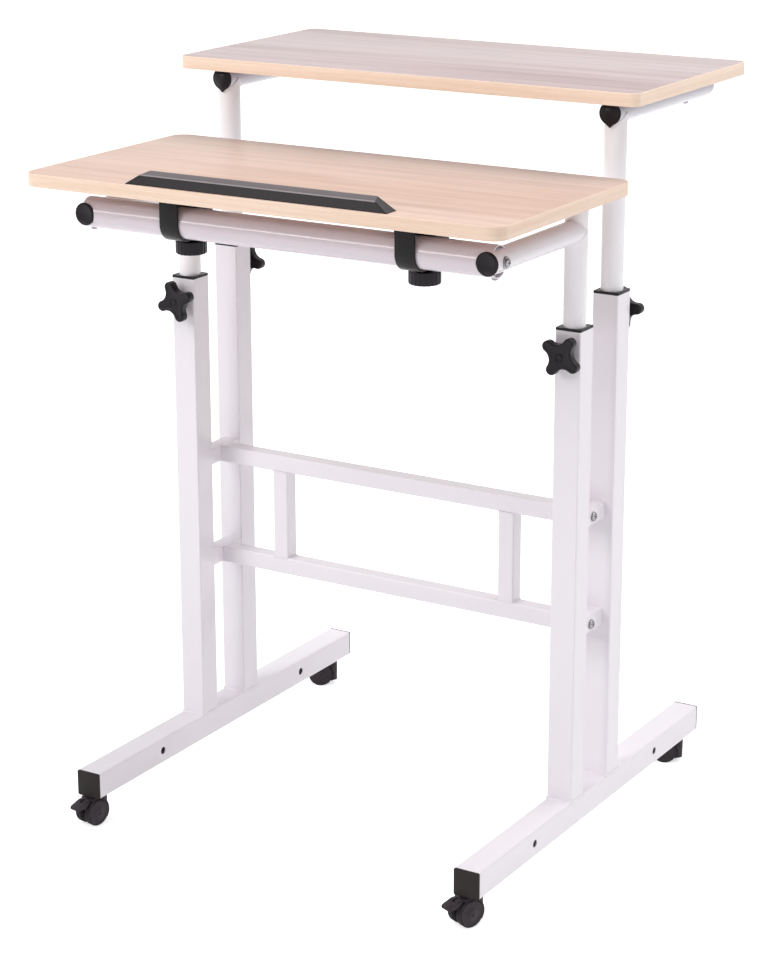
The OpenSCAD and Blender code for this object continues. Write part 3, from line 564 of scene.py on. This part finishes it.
def makeStarKnob(spec):
    base = spec["hub"] * mm
    piece = addRing([(p.x * mm, p.y * mm, base) for p in starOutline(spec)])
    extrude(z=spec["thick"] * mm)
    pickEdges(piece, lambda a, b: abs(a.z - b.z) < 1e-6)
    bpy.ops.mesh.bevel(offset=spec["edge"] * mm, segments=5, affect="EDGES")
    top = spec["hub"] + spec["thick"]
    pickFaces(piece, lambda centre, normal: normal.z > 0.99 and centre.z > (top - 0.01) * mm)
    bpy.ops.mesh.inset(thickness=spec["rim"] * mm, depth=0)
    bpy.ops.mesh.inset(thickness=spec["rimStep"] * mm, depth=-spec["rimDepth"] * mm)
    closeMesh()
    fixNormals(piece)
    cutter = turnPiece([(spec["dish"] - 1.2, top - spec["dishDepth"]), (spec["dish"], top + 1)], 48)
    cutAway(piece, cutter)
    softenEdges(piece, spec["round"], segments=2, angle=25)
    dishFloor = top - spec["dishDepth"]
    boss = turnPiece([(3.4, dishFloor - 0.5), (3.4, top - 1.0), (2.9, top - 0.6), (1.0, top - 0.5)], 40)
    hub = turnPiece([(7.0, 0.0), (8.6, 0.3), (10.6, spec["hub"] - 0.4), (10.8, spec["hub"] + 0.8)], 48)
    threads = [(spec["stud"] - 1, -spec["studLength"]), (spec["stud"] - 0.2, -spec["studLength"] + 0.8)]
    for i in range(spec["turns"]):
        z = -spec["studLength"] + spec["pitch"] * (i + 1)
        threads += [(spec["stud"], z), (spec["stud"] - spec["threadDepth"], z + spec["pitch"] / 2)]
    threads += [(spec["stud"] - 0.1, 0.2), (spec["stud"] - 0.1, spec["hub"])]
    stud = turnPiece(threads, 32)
    return joinPieces([piece, boss, hub, stud])


starMaster = makeStarKnob(starKnob)
for name, nodeStem, side, end, turn in starPlaces:
    outward = (-1, 1)[end]
    seat = desk["legY"][end] + outward * (desk["legSide"] / 2 + starKnob["standOff"])
    place = Matrix.Translation((side * desk["legX"] * mm, seat * mm, starKnob["heights"][end] * mm))
    if end == 1:  # the rear ones face backwards
        place = place @ Matrix.Rotation(math.radians(180), 4, "Z")
        turn = 180 - turn
    place = place @ Matrix.Rotation(math.radians(90), 4, "X")
    knob = copyTo(starMaster, place @ Matrix.Rotation(math.radians(turn), 4, "Z"))
    nodeName = nodeStem + "_star_knob"
    finishPiece(knob, name + "StarKnob", blackPlastic, nodeName, "black_plastic", nodeName)
scrap(starMaster)
print("star knobs made")


# The tilt clamps: strap, saddle, screws and a fluted knob

clamp = {"xs": (-150.5, 173.5), "axisY": desk["tiltY"], "axisZ": desk["tiltZ"], "under": 830, "tube": 19.3,
         "width": 26, "thick": 3, "knobY": 23.6, "hole": 3.3, "flange": 22.0, "lug": 36.6, "corner": 3.0,
         "round": 0.6, "saddleRound": 0.5}
clampKnob = {"radius": 19, "top": -25.6, "height": 16, "grooves": 20, "grooveDepth": 0.75,
             "hubTop": -22.6, "stud": 3, "studTop": 31.4, "pitch": 1.0, "threadDepth": 0.4, "threadInset": 1.4}


def makeStrap(spec, x):
    axisY, axisZ, half = spec["axisY"], spec["axisZ"], spec["width"] / 2
    middle = spec["tube"] + spec["thick"] / 2
    flangeZ = spec["under"] - spec["thick"] / 2
    back = axisY - middle + spec["flange"] - spec["thick"] / 2
    ring = [(x - half, axisY - middle), (x + half, axisY - middle), (x + half, back), (x - half, back)]
    piece = addRing([(a * mm, b * mm, flangeZ * mm) for a, b in ring])
    front = (axisY - middle) * mm
    pickEdges(piece, lambda a, b: abs(a.y - front) < 1e-6 and abs(b.y - front) < 1e-6)
    extrude(z=(axisZ - flangeZ) * mm)
    bpy.ops.mesh.spin(steps=18, dupli=False, angle=-math.radians(90),
                      center=(0, axisY * mm, axisZ * mm), axis=(1, 0, 0))
    extrude(y=spec["lug"] * mm)
    pickEdges(piece, lambda a, b: abs(a.z - flangeZ * mm) < 1e-6 and abs(b.z - flangeZ * mm) < 1e-6
              and abs(a.y - front) < 1e-6 and abs(b.y - front) < 1e-6)
    bpy.ops.mesh.bevel(offset=spec["corner"] * mm, segments=5, affect="EDGES")
    closeMesh()
    fixNormals(piece)
    useModifier(piece, "SOLIDIFY", thickness=spec["thick"] * mm, offset=0, use_even_offset=True)
    bpy.ops.mesh.primitive_cylinder_add(vertices=40, radius=spec["hole"] * mm, depth=12 * mm,
                                        location=(x * mm, (axisY + spec["knobY"]) * mm, (axisZ - middle) * mm))
    cutAway(piece, bpy.context.object)
    softenEdges(piece, spec["round"], segments=3, angle=40)
    return piece


def makeClampKnob(spec):
    steps = spec["grooves"] * 8
    base = spec["top"] - spec["height"]
    points = []
    for i in range(steps):
        a = 2 * math.pi * i / steps
        dip = max(0.0, math.cos(spec["grooves"] * a)) ** 1.5
        r = (spec["radius"] - spec["grooveDepth"] * dip) * mm
        points.append((r * math.cos(a), r * math.sin(a), spec["top"] * mm))
    piece = addRing(points)
    bpy.ops.transform.resize(value=(0.965, 0.965, 1), center_override=(0, 0, spec["top"] * mm))
    rings = [(0.5, 1.036), (spec["height"] - 2.6, 1.0), (1.2, 0.975), (0.8, 0.95), (0.1, 0.86), (-0.9, 0.9), (0, 0.5)]
    for drop, ratio in rings:  # how far down each ring lies, and its size against the one before
        extrude(z=-drop * mm)
        bpy.ops.transform.resize(value=(ratio, ratio, 1), center_override=(0, 0, 0))
    closeMesh()
    fixNormals(piece)
    top, hubTop = spec["top"], spec["hubTop"]
    hub = turnPiece([(12.5, top - 0.3), (12.0, top + 0.4), (9.4, hubTop - 0.4), (9.0, hubTop)], 48)
    button = turnPiece([(7.0, base + 1.2), (7.0, base + 0.3), (6.4, base), (2.0, base - 0.1)], 40)
    threads = [(spec["stud"] - 0.1, hubTop - 1), (spec["stud"] - 0.1, hubTop + 1)]
    z = hubTop + spec["threadInset"]
    while z < spec["studTop"] - spec["threadInset"]:
        threads += [(spec["stud"], z), (spec["stud"] - spec["threadDepth"], z + spec["pitch"] / 2)]
        z += spec["pitch"]
    threads += [(spec["stud"] - 0.6, spec["studTop"] - 0.2)]
    stud = turnPiece(threads, 28)
    return joinPieces([piece, hub, button, stud])


knobMaster = makeClampKnob(clampKnob)
for side, x in zip(("left", "right"), clamp["xs"]):
    strap = makeStrap(clamp, x)
    finishPiece(strap, side + "ClampStrap", strapCoat, "worktop", "black_steel", side + "_clamp_strap")
    saddle = softCopy(side + "_clamp_saddle", clamp["saddleRound"], 2)
    finishPiece(saddle, side + "ClampSaddle", blackPlastic, "worktop", "black_plastic", side + "_clamp_saddle")
    knobPlace = (x * mm, (clamp["axisY"] + clamp["knobY"]) * mm, clamp["axisZ"] * mm)
    knob = copyTo(knobMaster, Matrix.Translation(knobPlace))
    finishPiece(knob, side + "ClampKnob", blackPlastic, side + "_clamp_knob", "black_plastic", side + "_clamp_knob")
scrap(knobMaster)
print("tilt clamps made")


# Screws and bolts: a pan head with a cross recess, head along -Z, shank along +Z

screwAt = {"frameX": 283, "frameY": 0.5, "frameZ": (427.5, 287.5), "sideX": 292.2, "earZ": 771.6,
           "strapX": 6.5, "strapY": -11.0, "strapZ": 827, "saddleX": 21, "saddleZ": 826,
           "shelfY": 242, "shelfZ": 902}


def makeScrew(size, length):
    head = [(0.30, -0.66), (0.62, -0.62), (0.86, -0.48), (0.98, -0.26), (1.0, -0.06), (0.97, 0.0), (0.5, 0.0)]
    shank = [(0.5, length / size - 0.12), (0.38, length / size)]
    piece = turnPiece([(r * size, z * size) for r, z in head + shank], 40)
    for turn in (0, 90):
        slot = addBox((-0.52 * size, -0.1 * size, -size), (0.52 * size, 0.1 * size, -0.3 * size))
        slot.rotation_euler.z = math.radians(turn + 20)
        applyPlace(slot)
        cutAway(piece, slot)
    return piece


def placeScrews(name, size, length, places, body, nodeName):
    master = makeScrew(size, length)
    pieces = []
    for position, direction in places:  # direction: where the shank points
        turn = Vector(direction).to_track_quat("Z", "Y").to_matrix().to_4x4()
        pieces.append(copyTo(master, Matrix.Translation([v * mm for v in position]) @ turn))
    scrap(master)
    piece = joinPieces(pieces)
    return finishPiece(piece, name, zincSteel, body, "zinc_steel", *([nodeName] if nodeName else []))


inward = [(s, (-s, 0, 0)) for s in (-1, 1)]
upward = (0, 0, 1)
frameBoltPlaces = [((s * screwAt["frameX"], screwAt["frameY"], z), way)
                   for s, way in inward for z in screwAt["frameZ"]]
placeScrews("crossFrameBolts", 6, 29.3, frameBoltPlaces, "base", "cross_frame_bolts")
sideBoltPlaces = [((s * screwAt["sideX"], desk["tiltY"], desk["tiltZ"]), way) for s, way in inward]
placeScrews("sideTubeBolts", 5, 14, sideBoltPlaces, "front_carriage", "cross_tube_screws")
earScrewPlaces = [((s * desk["legX"], desk["tiltY"], screwAt["earZ"]), upward) for s in (-1, 1)]
placeScrews("earTubeScrews", 4, 9.5, earScrewPlaces, "front_carriage", None)
strapScrewPlaces = [((x + s * screwAt["strapX"], clamp["axisY"] + screwAt["strapY"], screwAt["strapZ"]), upward)
                    for x in clamp["xs"] for s in (-1, 1)]
placeScrews("strapScrews", 4, 14, strapScrewPlaces, "worktop", "clamp_screws")
saddleScrewPlaces = [((x + s * screwAt["saddleX"], clamp["axisY"] + clamp["knobY"], screwAt["saddleZ"]), upward)
                     for x in clamp["xs"] for s in (-1, 1)]
placeScrews("saddleScrews", 4, 15, saddleScrewPlaces, "worktop", None)
shelfScrewPlaces = [((s * desk["legX"], screwAt["shelfY"], screwAt["shelfZ"]), upward) for s in (-1, 1)]
placeScrews("shelfScrews", 4, 39, shelfScrewPlaces, "rear_carriage", "shelf_screws")


# The washers under the side bolts: thin rounds bent to the arms

washer = {"radius": 7, "low": 6.0, "crown": 15.2, "arm": 14.1, "hole": 2.4, "rim": 0.4}


def makeWasher(spec):
    piece = turnPiece([(spec["radius"], spec["low"]), (spec["radius"], spec["crown"])], 48)
    bpy.ops.mesh.primitive_cylinder_add(vertices=160, radius=spec["arm"] * mm, depth=60 * mm,
                                        rotation=(math.pi / 2, 0, 0))
    cutAway(piece, bpy.context.object)
    cutAway(piece, turnPiece([(spec["hole"], 0), (spec["hole"], 20)], 32))
    softenEdges(piece, spec["rim"], segments=2, angle=40)
    return piece


washerMaster = makeWasher(washer)
washers = []
for side in (-1, 1):
    washerAt = Matrix.Translation((side * desk["legX"] * mm, desk["tiltY"] * mm, desk["tiltZ"] * mm))
    washers.append(copyTo(washerMaster, washerAt @ Matrix.Rotation(side * math.pi / 2, 4, "Y")))
scrap(washerMaster)
finishPiece(joinPieces(washers), "sideBoltWashers", zincSteel, "front_carriage", "zinc_steel")
print("screws made")


# Plastic caps and collars

for nodeName, pieceName, body, width in (("foot_caps", "footCaps", "base", 0.25),
                                         ("upright_collars", "uprightCollars", "base", 0.5),
                                         ("arm_caps", "armCaps", "front_carriage", 0.3),
                                         ("shelf_arm_caps", "shelfArmCaps", "rear_carriage", 0.4)):
    finish = capPlastic if nodeName == "foot_caps" else blackPlastic
    finishPiece(softCopy(nodeName, width, 3), pieceName, finish, body, "black_plastic", nodeName)
print("caps made")


# Weld beads where the tubes are joined

weld = {"bead": 1.5, "ripple": 0.14, "pitch": 3.2, "sides": 8, "steps": 120, "cornerSteps": 6, "sideSteps": 24,
        "tubeSide": 34.6, "tubeCorner": 2.3, "armBead": 0.8, "shelfArmZ": 916,
        "strutX": 168, "strutY": 0.5, "strutZ": (298.5, 416.5), "strutSide": 22.2, "strutBead": 0.9}


def makeBead(path, spec):
    sides = spec["sides"]
    bpy.ops.mesh.primitive_torus_add(major_segments=len(path), minor_segments=sides,
                                     major_radius=0.05, minor_radius=0.01)
    piece = bpy.context.object
    openMesh(piece)
    count = len(path)
    middle = sum(path, Vector()) / count
    length = sum((path[i] - path[i - 1]).length for i in range(count))
    waves = max(1, round(length / (spec["pitch"] * mm)))

    def place(index, co):
        i, j = divmod(index, sides)
        along = (path[(i + 1) % count] - path[i - 1]).normalized()
        out = path[i] - middle
        out = (out - along * out.dot(along)).normalized()
        across = along.cross(out)
        size = spec["bead"] * mm * (1 + spec["ripple"] * math.sin(2 * math.pi * waves * i / count))
        a = 2 * math.pi * j / sides
        return path[i] + out * size * math.cos(a) + across * size * math.sin(a)

    moveVerts(piece, place)
    closeMesh()
    fixNormals(piece)
    return piece


def squarePath(x, y, z, side, corner):  # points round a tube with round corners, in millimetres
    half = side / 2 - corner
    points = []

    def cornerPoint(sx, sy, a):
        return Vector((x + sx * half + corner * math.cos(a), y + sy * half + corner * math.sin(a), z)) * mm

    corners = ((1, 1), (-1, 1), (-1, -1), (1, -1))
    for quarter, (sx, sy) in enumerate(corners):
        for i in range(weld["cornerSteps"] + 1):
            points.append(cornerPoint(sx, sy, math.radians(90 * quarter + 90 * i / weld["cornerSteps"])))
        first = points[-1].copy()
        last = cornerPoint(*corners[(quarter + 1) % 4], math.radians(90 * (quarter + 1)))
        for i in range(1, weld["sideSteps"]):
            points.append(first.lerp(last, i / weld["sideSteps"]))
    return points


def armPath(x, y, z, radius, towards):  # where an arm meets a post of the same size
    points = []
    for i in range(weld["steps"]):
        a = 2 * math.pi * i / weld["steps"]
        across, up = radius * math.cos(a), radius * math.sin(a)
        points.append(Vector((x + across, y + towards * radius * abs(math.sin(a)), z + up)) * mm)
    return points


def postPath(x, y, z, radius):  # where a post meets the arm above it
    points = []
    for i in range(weld["steps"]):
        a = 2 * math.pi * i / weld["steps"]
        across, along = radius * math.cos(a), radius * math.sin(a)
        points.append(Vector((x + across, y + along, z - radius * abs(math.sin(a)))) * mm)
    return points


frontY, rearY = desk["legY"]
baseBeads = [makeBead(squarePath(s * desk["legX"], y, desk["footTop"], weld["tubeSide"], weld["tubeCorner"]), weld)
             for s in (-1, 1) for y in desk["legY"]]
finishPiece(joinPieces(baseBeads), "uprightWelds", powderCoat, "base", "white_coat", angle=60)
frontBeads = [makeBead(armPath(s * desk["legX"], frontY, desk["tiltZ"], desk["postRadius"], -1),
                       {**weld, "bead": weld["armBead"]}) for s in (-1, 1)]
finishPiece(joinPieces(frontBeads), "armWelds", powderCoat, "front_carriage", "white_coat", angle=60)
rearBeads = [makeBead(postPath(s * desk["legX"], rearY, weld["shelfArmZ"], desk["postRadius"]), weld)
             for s in (-1, 1)]
finishPiece(joinPieces(rearBeads), "shelfArmWelds", powderCoat, "rear_carriage", "white_coat", angle=60)
strutBeads = [makeBead(squarePath(s * weld["strutX"], weld["strutY"], z, weld["strutSide"], weld["tubeCorner"]),
                       {**weld, "bead": weld["strutBead"]}) for s in (-1, 1) for z in weld["strutZ"]]
finishPiece(joinPieces(strutBeads), "strutWelds", powderCoat, "base", "white_coat", angle=60)
print("welds made")


# Casters: hooded body, a pair of wheels with rubber treads, and a brake lever on the front two

caster = {"trail": 16, "radius": 17.5, "stemY": (-273, 283), "axle": 2.9, "axleHalf": 3.7, "round": 0.45,
          "hoodInner": 18.1, "hoodOuter": 19.7, "hoodHalf": 11.3, "skirtFrom": 190, "skirtTo": 215,
          "heel": 8, "heelLow": 6.5, "heelHigh": 22, "heelRound": 0.6, "treadHole": 15.7}
casterPlaces = [("frontLeft", "front_left", -1, 0, -100), ("frontRight", "front_right", 1, 0, -113),
                ("rearLeft", "rear_left", -1, 1, -147), ("rearRight", "rear_right", 1, 1, -160)]
wheelProfile = [(3, 3.6), (14.6, 3.6), (15.2, 4.0), (15.9, 4.6), (15.9, 12.3), (15.5, 13.2), (14.8, 13.5),
                (14.2, 13.3), (13.8, 12.8), (6.2, 12.8), (5.6, 13.2), (4.9, 13.5), (2.6, 13.5), (2.3, 13.0),
                (0.6, 13.0)]
treadProfile = [(15.6, 4.2), (16.8, 4.2), (17.4, 5.0), (17.5, 5.8), (17.5, 7.4), (17.15, 7.6), (17.15, 7.9),
                (17.5, 8.1), (17.5, 9.0), (17.15, 9.2), (17.15, 9.5), (17.5, 9.7), (17.5, 11.2), (17.4, 12.0),
                (16.8, 12.8), (15.8, 12.9)]


def makeWheelPair(profile, spec):
    wheel = turnPiece(profile, 72)
    other = copyTo(wheel, Matrix.Rotation(math.radians(180), 4, "X"))
    axle = turnPiece([(spec["axle"], -spec["axleHalf"]), (spec["axle"], spec["axleHalf"])], 32)
    return joinPieces([wheel, other, axle])


def makeTreads(profile, spec):
    ring = turnPiece(profile, 72)
    hole = turnPiece([(spec["treadHole"], 0), (spec["treadHole"], 20)], 72)
    cutAway(ring, hole)
    other = copyTo(ring, Matrix.Rotation(math.radians(180), 4, "X"))
    return joinPieces([ring, other])


def makeSkirt(spec):  # the hood's lower edge behind the wheels, on the side of the stem
    a = math.radians(spec["skirtFrom"])
    inner, outer, half = spec["hoodInner"], spec["hoodOuter"], spec["hoodHalf"]
    ring = []
    for r, y in ((inner, -half), (outer, -half), (outer, half), (inner, half)):
        ring.append(((spec["trail"] + r * math.cos(a)) * mm, y * mm, (spec["radius"] + r * math.sin(a)) * mm))
    piece = addRing(ring)
    bpy.ops.mesh.spin(steps=8, dupli=False, angle=math.radians(spec["skirtTo"] - spec["skirtFrom"]),
                      center=(spec["trail"] * mm, 0, spec["radius"] * mm), axis=(0, 1, 0))
    closeMesh()
    fixNormals(piece)
    softenEdges(piece, spec["round"], segments=3, angle=40)
    return piece


def makeHeel(spec):  # the swivel boss runs down behind the wheels
    piece = turnPiece([(spec["heel"], spec["heelLow"]), (spec["heel"], spec["heelHigh"])], 64)
    bpy.ops.mesh.primitive_cylinder_add(vertices=96, radius=spec["hoodInner"] * mm, depth=60 * mm,
                                        location=(spec["trail"] * mm, 0, spec["radius"] * mm),
                                        rotation=(math.pi / 2, 0, 0))
    cutAway(piece, bpy.context.object)
    softenEdges(piece, spec["heelRound"], segments=3, angle=40)
    return piece


wheelMaster = makeWheelPair(wheelProfile, caster)
skirtMaster = joinPieces([makeSkirt(caster), makeHeel(caster)])
treadMaster = makeTreads(treadProfile, caster)
for name, nodeStem, side, end, heading in casterPlaces:
    stem = Matrix.Translation((side * desk["legX"] * mm, caster["stemY"][end] * mm, 0))
    stem = stem @ Matrix.Rotation(math.radians(heading), 4, "Z")
    axle = stem @ Matrix.Translation((caster["trail"] * mm, 0, caster["radius"] * mm))
    axle = axle @ Matrix.Rotation(math.radians(90), 4, "X")
    body = nodeStem + "_wheels"
    finishPiece(copyTo(wheelMaster, axle), name + "Wheels", wheelPlastic, body, "wheel_plastic", body)
    finishPiece(copyTo(treadMaster, axle), name + "Treads", treadRubber, body, "black_rubber")
    hoodNode, brakeNode = nodeStem + "_caster", nodeStem + "_brake"
    hood = joinPieces([softCopy(hoodNode, caster["round"]), copyTo(skirtMaster, stem)])
    finishPiece(hood, name + "CasterHood", wheelPlastic, hoodNode, "black_plastic", hoodNode)
    if end == 0:
        lever = softCopy(brakeNode, caster["round"])
        finishPiece(lever, name + "BrakeLever", wheelPlastic, brakeNode, "black_plastic", brakeNode)
scrap(wheelMaster)
scrap(treadMaster)
scrap(skirtMaster)
print("casters made")


# Floor, light and camera

studio = {"floorSize": 60, "floorShade": 0.9, "floorRough": 0.9, "floorSpecular": 0.1, "floorGlow": 0.6,
          "farGlow": 0.9, "fadeFrom": 0.6, "fadeTo": 3.0, "worldLight": 0.36, "worldTint": (0.97, 0.97, 1.0)}
lamps = [{"name": "keyLight", "place": (-1.7, -2.6, 3.2), "size": 2.0, "power": 66},
         {"name": "sideLight", "place": (3.0, -0.9, 1.9), "size": 1.8, "power": 18},
         {"name": "topLight", "place": (0.6, 1.0, 3.2), "size": 2.6, "power": 74}]
strip = {"place": (-2.1, -3.3, 1.95), "size": 2.2, "height": 0.17, "power": 27, "aim": (-2.1, -0.24, 0.8)}
cameraAt = {"place": (1.6242, -2.7020, 1.4024), "yaw": 31.732, "pitch": 17.075, "roll": -0.251,
            "lens": 96.797, "shift": (0.02183, -0.0046)}


def seenRays(tree):  # 1 for what the camera sees straight, in a reflection or through glass
    path = tree.nodes.new("ShaderNodeLightPath")
    seen = path.outputs["Is Camera Ray"]
    for kind in ("Is Glossy Ray", "Is Transmission Ray"):
        either = tree.nodes.new("ShaderNodeMath")
        either.operation = "MAXIMUM"
        tree.links.new(seen, either.inputs[0])
        tree.links.new(path.outputs[kind], either.inputs[1])
        seen = either.outputs[0]
    return seen


def makeFloor(look):
    bpy.ops.mesh.primitive_plane_add(size=look["floorSize"], location=(0, 0, 0))
    floor = bpy.context.object
    floor.name = "studioFloor"
    material = bpy.data.materials.new("studioFloor")
    material.use_nodes = True
    tree = material.node_tree
    shader = tree.nodes["Principled BSDF"]
    shade = look["floorShade"]
    shader.inputs["Base Color"].default_value = (shade, shade, shade, 1)
    shader.inputs["Roughness"].default_value = look["floorRough"]
    shader.inputs["Specular IOR Level"].default_value = look["floorSpecular"]
    coords = tree.nodes.new("ShaderNodeTexCoord")
    distance = tree.nodes.new("ShaderNodeVectorMath")
    distance.operation = "LENGTH"
    tree.links.new(coords.outputs["Object"], distance.inputs[0])
    fade = tree.nodes.new("ShaderNodeMapRange")
    for key, value in (("From Min", look["fadeFrom"]), ("From Max", look["fadeTo"]),
                       ("To Min", look["floorGlow"]), ("To Max", look["farGlow"])):
        fade.inputs[key].default_value = value
    tree.links.new(distance.outputs["Value"], fade.inputs["Value"])
    glow = tree.nodes.new("ShaderNodeMath")
    glow.operation = "MULTIPLY"
    tree.links.new(seenRays(tree), glow.inputs[0])
    tree.links.new(fade.outputs["Result"], glow.inputs[1])
    shader.inputs["Emission Color"].default_value = (1, 1, 1, 1)
    tree.links.new(glow.outputs[0], shader.inputs["Emission Strength"])
    floor.data.materials.append(material)


def makeWorld(look):
    world = bpy.data.worlds.new("studioWorld")
    bpy.context.scene.world = world
    world.use_nodes = True
    tree = world.node_tree
    tree.nodes.clear()
    output = tree.nodes.new("ShaderNodeOutputWorld")
    light = tree.nodes.new("ShaderNodeBackground")
    light.inputs["Color"].default_value = (*look["worldTint"], 1)
    light.inputs["Strength"].default_value = look["worldLight"]
    seen = tree.nodes.new("ShaderNodeBackground")
    seen.inputs["Color"].default_value = (1, 1, 1, 1)
    seen.inputs["Strength"].default_value = 1
    mix = tree.nodes.new("ShaderNodeMixShader")
    tree.links.new(seenRays(tree), mix.inputs[0])
    tree.links.new(light.outputs[0], mix.inputs[1])
    tree.links.new(seen.outputs[0], mix.inputs[2])
    tree.links.new(mix.outputs[0], output.inputs["Surface"])


def makeLamp(name, place, size, power, aim=(0, 0, 0.5), height=None):
    lamp = bpy.data.lights.new(name, "AREA")
    lamp.shape = "RECTANGLE"
    lamp.size = size
    lamp.size_y = height or size
    lamp.energy = power
    holder = bpy.data.objects.new(name, lamp)
    bpy.context.collection.objects.link(holder)
    holder.location = place
    holder.rotation_euler = (Vector(aim) - Vector(place)).to_track_quat("-Z", "Y").to_euler()


def makeCamera(spec):
    yaw, pitch, roll = (math.radians(spec[key]) for key in ("yaw", "pitch", "roll"))
    ahead = Vector((-math.sin(yaw) * math.cos(pitch), math.cos(yaw) * math.cos(pitch), -math.sin(pitch)))
    right = Vector((math.cos(yaw), math.sin(yaw), 0))
    up = right.cross(ahead)
    turnedRight = math.cos(roll) * right + math.sin(roll) * up
    turnedUp = -math.sin(roll) * right + math.cos(roll) * up
    camera = bpy.data.cameras.new("photoCamera")
    camera.lens = spec["lens"]
    camera.sensor_width = 36
    camera.shift_x, camera.shift_y = spec["shift"]
    camera.clip_end = 100
    holder = bpy.data.objects.new("photoCamera", camera)
    bpy.context.collection.objects.link(holder)
    axes = Matrix((turnedRight, turnedUp, -ahead)).transposed().to_4x4()
    holder.matrix_world = Matrix.Translation(spec["place"]) @ axes
    bpy.context.scene.camera = holder


makeFloor(studio)
makeWorld(studio)
for lamp in lamps:
    makeLamp(lamp["name"], lamp["place"], lamp["size"], lamp["power"])
makeLamp("stripLight", strip["place"], strip["size"], strip["power"], strip["aim"], strip["height"])
makeCamera(cameraAt)
bpy.context.scene.view_settings.view_transform = "Standard"
print("studio ready")
